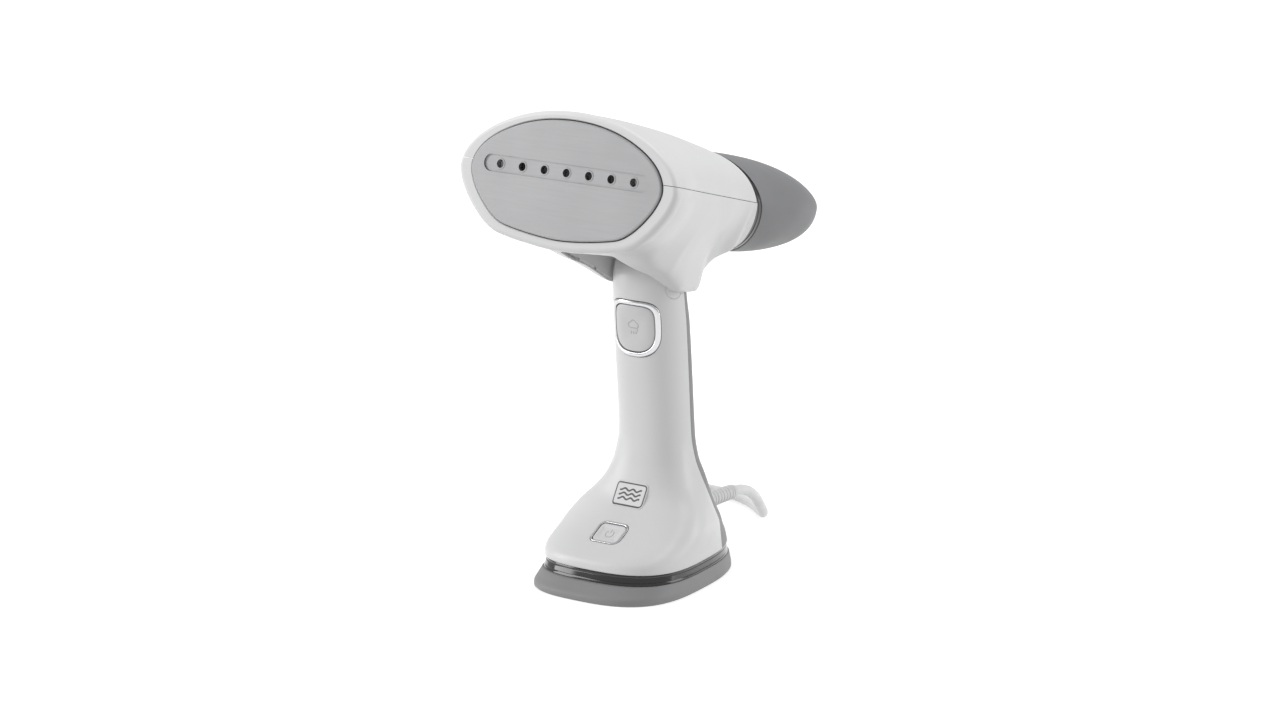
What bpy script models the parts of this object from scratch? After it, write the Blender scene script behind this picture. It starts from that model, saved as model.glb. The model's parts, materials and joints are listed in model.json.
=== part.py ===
"""Handheld garment steamer: folding head, removable water tank, handle on a wide foot, mains cord.

Lengths are in millimetres and turn into metres where a mesh is made. The handle and the foot are modelled
in world axes: x to the right, y to the rear, z up, with the origin on the table under the handle. The head
is modelled in its own axes: x to the right, s rearward from the steam plate's face, t up, tilted nose up.
"""

import math

import bmesh
import bpy
from mathutils import Matrix, Vector

MM = 0.001
GAP = 0.3
MERGE_DISTANCE = 0.00001

# Head: where the steam plate's centre is, how far the head tips up, and where the head hinges.
PLATE_CENTRE = (0.0, -68.5, 243.2)
HEAD_TILT = math.radians(12.5)
HINGE_Y = 5.0
HINGE_Z = 172.0
HEAD_LENGTH = 172.0
HEAD_WALL = 2.4
RIM_RADIUS = 3.0
RIM_WALL = 3.2
SEAM_FRONT = 5.0
SEAM_SLOPE = -0.036

# Steam plate.
PLATE_HALF_WIDTH = 66.3
PLATE_HALF_HEIGHT = 33.3
PLATE_PROUD = 1.0
PLATE_BACK = 2.7
STEAM_HOLES = 7
STEAM_HOLE_PITCH = 15.55
STEAM_HOLE_RADIUS = 2.4
STEAM_ROW_T = 4.1
STEAM_SLOT_HALF = 57.7
STEAM_SLOT_RADIUS = 4.85
STEAM_SLOT_DEPTH = 0.9

# Rear joint between head and tank: a plane that leans forward at its top.
JOINT_S = 140.9
JOINT_T = -0.2
JOINT_LEAN = math.radians(28.6)
JOINT_BOW = 0.0133
TANK_RING = 5.0
TANK_LENGTH = 85.2
TANK_WALL = 1.8

# Handle, steam button, badge and power button.
HANDLE_WALL = 2.2
KNUCKLE_DEPTH = 17.0
KNUCKLE_HEIGHT = 16.0
SKIRT_BOTTOM = 16.0
STEAM_BUTTON_Z = 149.0
STEAM_BUTTON_TRAVEL = 2.0
POWER_BUTTON_POINT = (0.0, -29.0, 32.5)
POWER_BUTTON_LEAN = math.radians(36.0)
BADGE_Z = 51.4

# Foot.
FOOT_HEIGHT = 10.0

# Head outline along s: (s, value) points joined by a smooth curve.
HEAD_HALF_WIDTH = ((0, 76.3), (6, 75.6), (40, 62.4), (80, 49.5), (120, 37.5), (141, 31.8), (172, 29.0))
HEAD_TOP = ((0, 38.5), (25, 37.6), (65, 34.6), (105, 29.2), (128, 25.5), (150, 23.4), (172, 22.0))
HEAD_BOTTOM = ((0, -39.5), (20, -39.9), (46, -41.2), (70, -40.8), (95, -37.2), (125, -32.6), (155, -31.0),
               (172, -30.4))

# Right half of the plate's edge, from top to bottom: (x, t).
PLATE_EDGE = ((0, 33.2), (16, 32.2), (30, 29.4), (42, 25.2), (52.5, 19.8), (60.5, 13.4), (65.2, 6.4), (66.2, -0.5),
              (63.2, -8), (58.8, -14.2), (53.8, -19.6), (48.4, -24.2), (42, -27.9), (33, -30.1), (16, -32.4),
              (0, -33.4))

# Hinge collar under the head: its half width and its lower edge along s.
COLLAR_HALF_WIDTH = ((34, 38), (58, 38), (67, 36), (77, 33.6), (88, 30.4), (98, 27.6), (104, 25.8), (108, 24),
                     (113, 21.7), (121, 22), (131, 26))
COLLAR_EDGE = ((34, -36), (46, -42), (58, -45.5), (66.5, -49.0), (76.6, -53.0), (83, -55.1), (90, -55.8),
               (108, -55.4), (110.5, -50), (113.5, -44.4), (117, -39.5), (121, -35.4), (127, -31), (133, -28))
COLLAR_BLEND = 18.0

# Handle and skirt: (z, front y, rear y, half width).
HANDLE_PROFILE = (
    (16, -51.2, 61, 42.0), (20, -50.6, 60.6, 42.0), (23, -47.6, 59.6, 42.0), (27, -39.8, 57.2, 41.8),
    (32.5, -29, 54.6, 41.2), (41, -18, 50.2, 37.6), (51, -9, 45, 32.0), (60, -6, 41, 27.6), (70, -3.5, 37, 24.2),
    (84, -2, 34.3, 22.4), (120, -4.5, 31.8, 22.1), (149, -7, 29.4, 22.0), (171, -8, 26, 21.6), (190, -8, 26, 21.2),
)
BASE_TAPER = ((16, 0.24), (27, 0.3), (41, 0.36), (60, 0.12), (84, 0.0))
BASE_POWER = ((16, 2.8), (41, 2.7), (60, 2.5), (84, 2.35))

# Rear tank: its outline at the joint, and where its sections lie as shares of its length.
TANK_HALF_WIDTH = 31.8
TANK_UP = 25.7
TANK_DOWN = 30.6
TANK_SECTIONS = (0.0, 0.15, 0.3, 0.45, 0.6, 0.72, 0.82, 0.9, 0.955, 0.985, 0.997)
FILL_S = 185.0
FILL_T = -24.8
FILL_RADIUS = 6.5
LID_RADIUS = 9.5
LID_HINGE_S = 197.0

# Cord: its size and the points that it runs through, to where the hank begins.
CORD_DIAMETER = 6.2
CORD_ROUTE = (
    (0, 91.5, 32.6), (0, 99, 31.9), (-0.6, 108, 28.8), (-2.4, 117, 23.2), (-6.0, 127, 15.4),
    (-11.5, 137.5, 8.4), (-20.5, 149, 4.6), (-32, 159.5, 3.5), (-45, 168.5, 3.5), (-60, 174, 3.7),
    (-74, 175.3, 4.0), (-84.8, 175.3, 4.1),
)
CORD_POINTS = 34

# Hank of the cord's unseen length, on the table behind the foot.
HANK_CENTRE = (-74.5, 113.0)
HANK_ANGLE = math.radians(127.0)
HANK_RUN = 94.0
HANK_TURN_WIDTH = 43.4
HANK_LIFT = 1.0
HANK_LAYERS = 3
TIE_WIDTH = 8.0
TIE_THICKNESS = 0.6
TIE_ALONG = -22.0
TAIL_ROUTE = ((47.5, 20.4, 23.0), (38, 20.2, 23.2), (28, 17.6, 24.6), (18, 12.0, 26.8), (8, 5.2, 28.5),
              (-1, 1.8, 29.1), (-8, 0.8, 29.2))


# ---------------------------------------------------------------- curves and outlines

def smooth_value(points, at):
    """Value at a place on a smooth curve through (place, value) points that never overshoots them."""
    places = [p[0] for p in points]
    values = [p[1] for p in points]
    if at <= places[0]:
        return values[0]
    if at >= places[-1]:
        return values[-1]
    last = len(points) - 1
    chords = [(values[i + 1] - values[i]) / (places[i + 1] - places[i]) for i in range(last)]

    def slope(i):
        if i in (0, last):
            return chords[min(i, last - 1)]
        before, after = chords[i - 1], chords[i]
        if before * after <= 0:
            return 0.0
        return 2 * before * after / (before + after)

    i = max(k for k in range(last) if places[k] <= at)
    width = places[i + 1] - places[i]
    u = (at - places[i]) / width
    return (
        values[i] * (1 + 2 * u) * (1 - u) ** 2
        + slope(i) * width * u * (1 - u) ** 2
        + values[i + 1] * u * u * (3 - 2 * u)
        - slope(i + 1) * width * u * u * (1 - u)
    )


def ease(low, high, at):
    """0 before low, 1 after high, and a smooth rise between them."""
    u = min(max((at - low) / (high - low), 0.0), 1.0)
    return u * u * (3 - 2 * u)


def power(value, exponent):
    """Signed power, which rounds an ellipse towards a box as the exponent falls."""
    return math.copysign(abs(value) ** exponent, value)


def oval(half_width, up, down, power_up, power_down, count, count_below=None):
    """Points (x, y) of an outline with its own height and roundness above and below its widest line."""
    above, below = count // 2, (count_below or count) // 2
    angles = [math.pi * step / above for step in range(above)]
    angles += [math.pi + math.pi * step / below for step in range(below)]
    ring = []
    for angle in angles:
        upper = angle <= math.pi
        exponent = 2 / (power_up if upper else power_down)
        x = half_width * power(math.cos(angle), exponent)
        ring.append((x, (up if upper else down) * power(math.sin(angle), exponent)))
    return ring


def rounded_box(half_x, half_y, radius, steps=3):
    """Points of a rectangle with round corners."""
    ring = []
    for corner, (sx, sy) in enumerate(((1, 1), (-1, 1), (-1, -1), (1, -1))):
        for step in range(steps + 1):
            angle = math.pi / 2 * (corner + step / steps)
            x = sx * (half_x - radius) + radius * math.cos(angle)
            ring.append((x, sy * (half_y - radius) + radius * math.sin(angle)))
    return ring


def through(points, count, closed=False):
    """Points at even steps along a smooth Catmull-Rom curve through the given points."""
    knots = [Vector(p) for p in points]
    if closed:
        knots = [knots[-1], *knots, knots[0], knots[1]]
    else:
        knots = [2 * knots[0] - knots[1], *knots, 2 * knots[-1] - knots[-2]]
    fine = []
    for i in range(1, len(knots) - 2):
        a, b, c, d = knots[i - 1:i + 3]
        for step in range(20):
            u = step / 20
            fine.append(0.5 * (2 * b + (c - a) * u + (2 * a - 5 * b + 4 * c - d) * u ** 2
                               + (3 * b - a - 3 * c + d) * u ** 3))
    fine.append(knots[-2])
    travelled = [0.0]
    for before, after in zip(fine, fine[1:]):
        travelled.append(travelled[-1] + (after - before).length)
    even = []
    for step in range(count):
        target = travelled[-1] * step / (count if closed else count - 1)
        i = max(k for k in range(len(fine) - 1) if travelled[k] <= target + 1e-9)
        share = (target - travelled[i]) / max(travelled[i + 1] - travelled[i], 1e-9)
        even.append(fine[i].lerp(fine[i + 1], min(share, 1.0)))
    return even


# ---------------------------------------------------------------- solids

def new_piece(name, mesh):
    piece = bpy.data.objects.new(name, mesh)
    bpy.context.scene.collection.objects.link(piece)
    return piece


def finish_mesh(name, shape):
    bmesh.ops.recalc_face_normals(shape, faces=shape.faces)
    mesh = bpy.data.meshes.new(name)
    shape.to_mesh(mesh)
    shape.free()
    return new_piece(name, mesh)


def loft(name, rings, closed_path=False):
    """Solid through a row of rings, with flat ends, or a tube whose last ring joins its first."""
    shape = bmesh.new()
    rows = [[shape.verts.new(Vector(point) * MM) for point in ring] for ring in rings]
    count = len(rows[0])
    pairs = list(zip(rows, rows[1:]))
    if closed_path:
        pairs.append((rows[-1], rows[0]))
    for row, following in pairs:
        for i in range(count):
            j = (i + 1) % count
            shape.faces.new((row[i], row[j], following[j], following[i]))
    if not closed_path:
        shape.faces.new(rows[0])
        shape.faces.new(rows[-1])
    return finish_mesh(name, shape)


def prism(name, outline, low, high, axis="z"):
    """Straight solid of an outline between two heights along an axis."""
    order = {"z": lambda a, b, h: (a, b, h), "y": lambda a, b, h: (a, h, b), "x": lambda a, b, h: (h, a, b)}
    return loft(name, [[order[axis](a, b, height) for a, b in outline] for height in (low, high)])


def block(name, low, high):
    outline = [(low[0], low[1]), (high[0], low[1]), (high[0], high[1]), (low[0], high[1])]
    return prism(name, outline, low[2], high[2])


def circle(radius, count=16, centre=(0.0, 0.0)):
    return [(centre[0] + radius * math.cos(math.tau * i / count),
             centre[1] + radius * math.sin(math.tau * i / count)) for i in range(count)]


def turned(name, profile, axis="z", count=16, centre=(0.0, 0.0)):
    """Solid turned round an axis from (radius, height) points; a first radius above 0 leaves a bore."""
    order = {"z": lambda a, b, h: (a, b, h), "y": lambda a, b, h: (a, h, b), "x": lambda a, b, h: (h, a, b)}
    rings = [[order[axis](a, b, height) for a, b in circle(radius, count, centre)]
             for radius, height in profile]
    return loft(name, rings, closed_path=True)


def rod(name, radius, low, high, axis="z", count=16, centre=(0.0, 0.0)):
    return prism(name, circle(radius, count, centre), low, high, axis)


def move(piece, matrix):
    """Carry a piece's mesh to another place."""
    scaled = matrix.copy()
    scaled.translation = matrix.translation * MM
    piece.data.transform(scaled)
    return piece


def combine(target, tools, operation):
    """Apply Booleans to the target and remove the tools."""
    for tool in tools:
        change = target.modifiers.new(operation.lower(), "BOOLEAN")
        change.operation = operation
        change.object = tool
        change.solver = "EXACT"
    bpy.context.view_layer.update()
    mesh = bpy.data.meshes.new_from_object(target.evaluated_get(bpy.context.evaluated_depsgraph_get()))
    shape = bmesh.new()
    shape.from_mesh(mesh)
    bmesh.ops.remove_doubles(shape, verts=shape.verts, dist=MERGE_DISTANCE)
    bmesh.ops.dissolve_degenerate(shape, edges=shape.edges, dist=MERGE_DISTANCE)
    shape.to_mesh(mesh)
    shape.free()
    target.modifiers.clear()
    target.data = mesh
    for tool in tools:
        bpy.data.objects.remove(tool, do_unlink=True)
    return target


def cut(target, *tools):
    return combine(target, tools, "DIFFERENCE")


def join(target, *tools):
    return combine(target, tools, "UNION")


def keep_inside(target, *tools):
    return combine(target, tools, "INTERSECT")


def copy_of(piece, name):
    return new_piece(name, piece.data.copy())


# ---------------------------------------------------------------- materials

def material(name, colour, roughness, metallic=0.0, see_through=0.0):
    found = bpy.data.materials.get(name)
    if found:
        return found
    made = bpy.data.materials.new(name)
    made.use_nodes = True
    shader = made.node_tree.nodes["Principled BSDF"]
    shader.inputs["Base Color"].default_value = (*colour, 1.0)
    shader.inputs["Roughness"].default_value = roughness
    shader.inputs["Metallic"].default_value = metallic
    shader.inputs["Transmission Weight"].default_value = see_through
    return made


LOOKS = {
    "white_plastic": ((0.83, 0.83, 0.83), 0.38),
    "grey_plastic": ((0.27, 0.27, 0.28), 0.5),
    "tank_plastic": ((0.24, 0.245, 0.26), 0.3),
    "smoked_plastic": ((0.05, 0.05, 0.055), 0.15),
    "brushed_steel": ((0.5, 0.5, 0.5), 0.35, 1.0),
    "chrome": ((0.8, 0.8, 0.8), 0.08, 1.0),
    "aluminium": ((0.6, 0.6, 0.61), 0.45, 1.0),
    "steel": ((0.45, 0.45, 0.46), 0.35, 1.0),
    "brass": ((0.7, 0.5, 0.22), 0.3, 1.0),
    "black_plastic": ((0.03, 0.03, 0.03), 0.5),
    "rubber": ((0.05, 0.05, 0.05), 0.8),
    "silicone": ((0.5, 0.5, 0.5), 0.6),
    "board": ((0.05, 0.2, 0.08), 0.5),
    "cord_white": ((0.75, 0.75, 0.75), 0.5),
}


def finish(piece, look):
    """Give a piece its material and smooth its round faces."""
    piece.data.materials.clear()
    piece.data.materials.append(material(look, *LOOKS[look]))
    piece.data.shade_smooth()
    piece.data.set_sharp_from_angle(angle=math.radians(35))
    return piece


# ---------------------------------------------------------------- head

HEAD_FRAME = Matrix.Translation(PLATE_CENTRE) @ Matrix.Rotation(-HEAD_TILT, 4, "X")
RING_POINTS = 28
UNDERSIDE_POINTS = 48
HEAD_STATIONS = (10, 24, 36, 46, 55, 63, 70, 76.6, 81, 86, 94, 101, 106, 108.3, 111, 114, 117, 121, 127, 133.5,
                 141, 150, 172)
SLOT_OUTLINE = ((-66, 0.6), (-64.5, 9), (-60, 16), (-52, 20), (-40, 22), (-28, 22.4), (-1, 22.4), (10, 22.4),
                (20, 22.4), (25, 20), (26.9, 15))


def plate_reach():
    """How far the plate's edge reaches from the head's middle line, by angle, for a unit half width and height."""
    reach = []
    for x, t in PLATE_EDGE:
        span = PLATE_EDGE[0][1] - SEAM_FRONT if t > SEAM_FRONT else SEAM_FRONT - PLATE_EDGE[-1][1]
        height = (t - SEAM_FRONT) / span
        along = x / PLATE_HALF_WIDTH
        reach.append((math.degrees(math.atan2(height, along)), math.hypot(along, height)))
    return reach[::-1]


PLATE_REACH = plate_reach()


def head_ring(s, inset, count=RING_POINTS, count_below=UNDERSIDE_POINTS):
    """One outline of the head at s: the plate's shape in front, an oval behind, with the hinge collar below."""
    middle = SEAM_FRONT + SEAM_SLOPE * s
    half_width = smooth_value(HEAD_HALF_WIDTH, s) - inset
    up = smooth_value(HEAD_TOP, s) - middle - inset
    down = middle - smooth_value(HEAD_BOTTOM, s) - inset
    share = min(s / 150, 1.0)
    power_down = 2.2 - 0.6 * ease(50, 145, s)
    front = 1 - ease(4, 60, s)
    collar_half = smooth_value(COLLAR_HALF_WIDTH, s) - inset
    collar_depth = middle - smooth_value(COLLAR_EDGE, s) - inset
    ring = []
    for x, y in oval(half_width, up, down, 1.85 + 0.25 * share, power_down, count, count_below):
        along, height = abs(x) / half_width, y / (up if y > 0 else down)
        plate = smooth_value(PLATE_REACH, math.degrees(math.atan2(height, along))) / math.hypot(along, height)
        fuller = 1 + (plate - 1) * front
        x, y = x * fuller, y * fuller
        if y < 0 and COLLAR_EDGE[0][0] < s < COLLAR_EDGE[-1][0]:
            reach = math.hypot(x, y)
            along, across = abs(x) / reach, abs(y) / reach
            collar = ((along / collar_half) ** 10 + (across / collar_depth) ** 10) ** -0.1
            blend = max(COLLAR_BLEND - abs(reach - collar), 0) / COLLAR_BLEND
            wider = max(reach, collar) + blend * blend * COLLAR_BLEND / 4
            x, y = x * wider / reach, y * wider / reach
        ring.append((x, s, middle + y))
    return ring


def plate_outline(inset, count=40):
    """Edge of the plate: gently arched above, and flatter with two soft corners below."""
    knots = [(x, t, 0) for x, t in PLATE_EDGE] + [(-x, t, 0) for x, t in reversed(PLATE_EDGE[1:-1])]
    narrow, low = 1 - inset / PLATE_HALF_WIDTH, 1 - inset / PLATE_HALF_HEIGHT
    return [(point.x * narrow, point.y * low) for point in through(knots, count, closed=True)]


def rim_rings():
    """Round front edge of the head, from its flat face to its full width."""
    rings = []
    for step in range(4):
        angle = math.pi / 2 * step / 3
        s = RIM_RADIUS * (1 - math.cos(angle))
        rings.append(head_ring(s, RIM_RADIUS * (1 - math.sin(angle))))
    return rings


def joint_shift(height, lean):
    """How far back the joint lies at a height above its middle; its upper half bows forward."""
    return -math.tan(lean) * (height + JOINT_BOW * max(height, 0) ** 2)


def joint_block(name, low, high):
    """Block between two distances behind the joint, larger than the head."""
    heights = (-80, 0, 6, 12, 18, 24, 30, 60)
    outline = [(JOINT_S + low + joint_shift(t, JOINT_LEAN), JOINT_T + t) for t in heights]
    outline += [(JOINT_S + high + joint_shift(t, JOINT_LEAN), JOINT_T + t) for t in reversed(heights)]
    return prism(name, outline, -80, 80, "x")


def seam_block(name, side):
    """Half space above (side 1) or below (side -1) the seam, half a gap away from it."""
    middle = SEAM_FRONT + side * GAP / 2
    outline = [(-5, middle - SEAM_SLOPE * 5), (180, middle + SEAM_SLOPE * 180), (180, side * 120),
               (-5, side * 120)]
    return prism(name, [(a, b) for a, b in outline], -90, 90, "x")


def hinge_slot():
    """Pointed opening in the underside, from the collar forward, that the handle folds into."""
    half = [(width, y) for y, width in SLOT_OUTLINE]
    outline = half + [(-width, y) for width, y in reversed(half)]
    return move(prism("hinge_slot", outline, 140, 203), HEAD_FRAME.inverted())


def stud_pocket():
    """Room in the collar for the hinge bushes and for the ends of the studs."""
    steps = ((1.75, -23.7), (1.75, -22.4), (6.2, -22.4), (6.2, 22.4), (1.75, 22.4), (1.75, 23.7))
    pocket = loft("pocket", [[(x, y, z) for y, z in circle(radius, 16, (HINGE_Y, HINGE_Z))] for radius, x in steps])
    return move(pocket, HEAD_FRAME.inverted())


def head_shells():
    outer = loft("head_outer", rim_rings() + [head_ring(s, 0.0) for s in HEAD_STATIONS])
    inner_stations = (RIM_WALL, *HEAD_STATIONS[:-1], 176)
    inner = loft("head_inner", [head_ring(s, HEAD_WALL, 20, 32) for s in inner_stations])
    opening = prism("plate_opening", plate_outline(-0.5), -2, 6, "y")
    shell = cut(outer, inner, opening, joint_block("behind_joint", 0, 60), hinge_slot())
    upper = copy_of(shell, "head_upper_shell")
    shell.name = "head_lower_shell"
    keep_inside(upper, seam_block("above_seam", 1))
    keep_inside(shell, seam_block("below_seam", -1))
    cut(shell, stud_pocket())
    return [finish(upper, "white_plastic"), finish(shell, "white_plastic")]


def steam_plate():
    """Steel plate with one long recess and a row of steam holes."""
    depths = ((-PLATE_PROUD, 0.8), (-PLATE_PROUD + 0.5, 0.15), (0.2, 0.0), (PLATE_BACK, 0.0))
    plate = loft("steam_plate", [[(x, s, t) for x, t in plate_outline(inset)] for s, inset in depths])
    recess = []
    for side in (1, -1):
        for step in range(7):
            angle = side * math.pi / 2 - math.pi * step / 6
            centre = side * (STEAM_SLOT_HALF - STEAM_SLOT_RADIUS)
            recess.append((centre + side * abs(STEAM_SLOT_RADIUS * math.cos(angle)),
                           STEAM_ROW_T + STEAM_SLOT_RADIUS * math.sin(angle)))
    tools = [prism("recess", recess, -5, -PLATE_PROUD + STEAM_SLOT_DEPTH, "y")]
    for i in range(STEAM_HOLES):
        x = (i - (STEAM_HOLES - 1) / 2) * STEAM_HOLE_PITCH
        tools.append(rod("hole", STEAM_HOLE_RADIUS, -6, 8, "y", 12, (x, STEAM_ROW_T)))
    return finish(cut(plate, *tools), "brushed_steel")


def plate_band(name, look, outer_inset, inner_inset, low, high):
    """Flat ring that follows the plate's outline."""
    rings = [[(x, s, t) for x, t in plate_outline(inset)]
             for s, inset in ((low, inner_inset), (low, outer_inset), (high, outer_inset), (high, inner_inset))]
    return finish(loft(name, rings, closed_path=True), look)


def steam_chamber():
    """Aluminium casting behind the plate, hollow and open towards it, with its cover and heating element."""
    low, high = PLATE_BACK + GAP, 17.0
    chamber = loft("steam_chamber", [[(x, s, t) for x, t in plate_outline(inset)]
                                     for s, inset in ((low, 10.5), (high, 13.0))])
    hollow = prism("hollow", rounded_box(46, 11, 9), low - 1, high - 4, "y")
    port = rod("port", 3.0, high - 6, high + 1, "y", 12, (0, 10.5))
    cut(chamber, hollow, port)
    cover = prism("chamber_cover", rounded_box(44, 15, 6), high + GAP, high + 3, "y")
    cut(cover, rod("port", 3.0, high - 6, high + 6, "y", 12, (0, 10.5)))
    top = high + 3 + GAP + 3.2
    route = [(-30, top, -6), (-10, top, -6.6), (14, top, -6.6), (26, top, -3.6), (29, top, 0.4),
             (24, top, 3.6), (12, top, 4.6)]
    heater = tube("heating_element", through(route, 14), 3.2, 8)
    return [finish(chamber, "aluminium"), finish(cover, "aluminium"), finish(heater, "steel")]


def tube(name, points, radius, count):
    """Round solid along points, made as a swept outline."""
    points = [Vector(p) for p in points]
    rings = []
    side = None
    for i, point in enumerate(points):
        ahead = points[min(i + 1, len(points) - 1)] - points[max(i - 1, 0)]
        ahead.normalize()
        if side is None:
            side = ahead.orthogonal().normalized()
        side = (side - ahead * side.dot(ahead)).normalized()
        up = ahead.cross(side)
        rings.append([point + side * (radius * math.cos(math.tau * k / count))
                      + up * (radius * math.sin(math.tau * k / count)) for k in range(count)])
    return loft(name, rings)


def pump():
    """Vibration pump: hollow body, saddle under it, and a sprung plunger in its bore."""
    body = turned("pump_body", [(5.2, 60), (13, 60), (13, 102), (5.2, 102)], "y", 16, (0, 4))
    saddle = block("pump_saddle", (-15, 66, -16), (15, 96, -4))
    cut(saddle, rod("seat", 13.3, 60, 110, "y", 20, (0, 4)))
    plunger = rod("pump_plunger", 4.7, 71, 92, "y", 12, (0, 4))
    spring = turned("pump_spring", [(3.0, 62.5), (4.4, 62.5), (4.4, 70.7), (3.0, 70.7)], "y", 12, (0, 4))
    valve = turned("pump_outlet", [(0.9, 52), (4.9, 52), (4.9, 62.2), (0.9, 62.2)], "y", 12, (0, 4))
    inlet = turned("pump_inlet", [(0.9, 96), (4.9, 96), (4.9, 108), (0.9, 108)], "y", 12, (0, 4))
    looks = ("black_plastic", "black_plastic", "steel", "steel", "brass", "brass")
    return [finish(piece, look) for piece, look in zip((body, saddle, plunger, spring, valve, inlet), looks)]


def hoses():
    outlet = tube("outlet_hose", through([(0, 51.6, 4), (0, 45, 5), (0, 36, 8.6), (0, 29, 10.4),
                                          (0, 20.4, 10.5)], 12), 2.6, 8)
    inlet = tube("inlet_hose", through([(0, 108.4, 4), (0, 114, 3), (0, 122, -3), (0, 128.5, -8.4),
                                        (0, 134.5, -10)], 12), 2.6, 8)
    return [finish(outlet, "silicone"), finish(inlet, "silicone")]


def controls_in_head():
    """Thermostat and thermal fuse clamped to the chamber cover."""
    thermostat = rod("thermostat", 8.0, 20.4, 26, "y", 16, (-34, 8))
    fuse = rod("thermal_fuse", 2.2, 8, 30, "x", 10, (22.6, 12.4))
    return [finish(fuse, "steel"), finish(thermostat, "black_plastic")]


def leaning_ring(s, half_width, up, down, lean, power_down=1.6, count=RING_POINTS):
    return [(x, s + joint_shift(y, lean), JOINT_T + y)
            for x, y in oval(half_width, up, down, 2.1, power_down, count)]


def tank_ring(share, inset, count=RING_POINTS):
    """Outline of the tank at a share of its length; the sections stand upright towards the nose."""
    width = TANK_HALF_WIDTH * (1 - share ** 2.43) ** (1 / 2.61) - inset
    up = TANK_UP * (1 - share ** 2.49) ** (1 / 1.44) - inset
    down = TANK_DOWN * (1 - share ** 1.85) ** (1 / 3.03) - inset
    start = JOINT_S + TANK_RING + GAP
    return leaning_ring(start + share * TANK_LENGTH, max(width, 0.5), max(up, 0.5), max(down, 0.5),
                        JOINT_LEAN * (1 - share) ** 1.5, 1.6 + 0.5 * share, count)


def lid_outline(grow):
    """Round lid with an arm that reaches back to its hinge."""
    radius, arm = LID_RADIUS + grow, 4.0 + grow
    start = math.asin(arm / radius)
    outline = [(radius * math.sin(angle), FILL_S - radius * math.cos(angle))
               for angle in (-math.pi + start + (math.tau - 2 * start) * i / 19 for i in range(20))]
    return outline + [(arm, LID_HINGE_S + grow), (-arm, LID_HINGE_S + grow)]


def tank_body(name, inset, first, shares):
    """Solid of the tank at an inset, from a distance behind the joint to the last of the shares."""
    start = leaning_ring(JOINT_S + TANK_RING - 4, TANK_HALF_WIDTH - inset, TANK_UP - inset, TANK_DOWN - inset,
                         JOINT_LEAN)
    body = loft(name, [start] + [tank_ring(share, inset) for share in shares])
    return cut(body, joint_block("before_tank", -60, first))


def water_tank():
    """Hollow tank with a flat boss for the fill mouth underneath and a port towards the head."""
    tank = tank_body("water_tank", 0.0, TANK_RING + GAP, TANK_SECTIONS)
    hollow = tank_body("hollow", TANK_WALL, TANK_RING + GAP + 2, [0.985 * share for share in TANK_SECTIONS[:-1]])
    mouth = rod("mouth", FILL_RADIUS, FILL_T - 9, FILL_T + 12, "z", 20, (0, FILL_S))
    port = rod("port", 5.6, 137, 162, "y", 16, (0, -10))
    cut(hollow, prism("floor", lid_outline(1.9), FILL_T - 9, FILL_T + 2, "z"))
    return finish(cut(tank, hollow, mouth, port, prism("pocket", lid_outline(GAP), FILL_T - 9, FILL_T, "z")),
                  "tank_plastic")


def joint_ring(name, look, low, high, outer_inset, inner_inset):
    """Ring that follows the joint between two distances behind it."""
    rings = [leaning_ring(JOINT_S + s, TANK_HALF_WIDTH - inset, TANK_UP - inset, TANK_DOWN - inset, JOINT_LEAN)
             for s, inset in ((low, inner_inset), (low, outer_inset), (high, outer_inset), (high, inner_inset))]
    return finish(loft(name, rings, closed_path=True), look)


def tank_socket():
    """Wall inside the head's rear end, with the port that takes the tank's outlet."""
    wall = loft("tank_socket", [leaning_ring(s, TANK_HALF_WIDTH - 3.6, TANK_UP - 3.6, TANK_DOWN - 3.6, JOINT_LEAN)
                                for s in (JOINT_S - 16, JOINT_S + 6)])
    keep_inside(wall, joint_block("socket_place", -6, -3))
    join(wall, rod("port", 8.0, 135, 146, "y", 16, (0, -10)))
    return finish(cut(wall, rod("bore", 5.2, 138, 160, "y", 16, (0, -10)),
                      rod("way", 1.5, 127, 150, "y", 10, (0, -10))), "black_plastic")


def tank_fittings():
    seal = turned("port_seal", [(3.9, 139.4), (4.9, 139.4), (4.9, 143.4), (3.9, 143.4)], "y", 16, (0, -10))
    valve = turned("outlet_valve", [(1.0, 140.0), (3.6, 140.0), (3.6, 147.6), (5.3, 147.6), (5.3, 159),
                                    (1.0, 159)], "y", 16, (0, -10))
    straw = tube("pickup_tube", through([(0, 159.4, -10), (0, 165, -10.6), (0, 173, -12.5), (5, 187, -15.6),
                                         (7, 196, -17.4), (7, 203, -18.0)], 12), 2.0, 8)
    return [finish(seal, "rubber"), finish(valve, "brass"), finish(straw, "silicone")]


def fill_lid():
    """Lid over the fill mouth, hinged at its rear, with a soft plug on it."""
    lid = loft("fill_lid", [tank_ring(share, 0.0) for share in TANK_SECTIONS])
    keep_inside(lid, prism("outline", lid_outline(0.0), FILL_T - 9, FILL_T - GAP, "z"))
    plug = loft("fill_seal", [[(a, FILL_S + b, FILL_T + height) for a, b in circle(radius, 20)]
                              for radius, height in ((5.9, 0.0), (5.4, 3.4))])
    return [finish(lid, "tank_plastic"), finish(plug, "silicone")]


# ---------------------------------------------------------------- handle

HANDLE_STATIONS = (16, 18.5, 20.5, 23, 26, 29.5, 34, 39, 45, 51, 58, 67, 80, 100, 125, 149, 172)
SEAM_PROFILE = ((5, 32), (23, 32), (32.5, 31), (41, 28.5), (60, 23.6), (84, 19.6), (120, 17.4), (149, 15.4),
                (171, 13.6), (200, 14.5))
BUTTON_HALF_WIDTH = 16.6
BUTTON_UP = 15.6
BUTTON_DOWN = 17.4
BEZEL_WIDTH = 2.7


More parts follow.
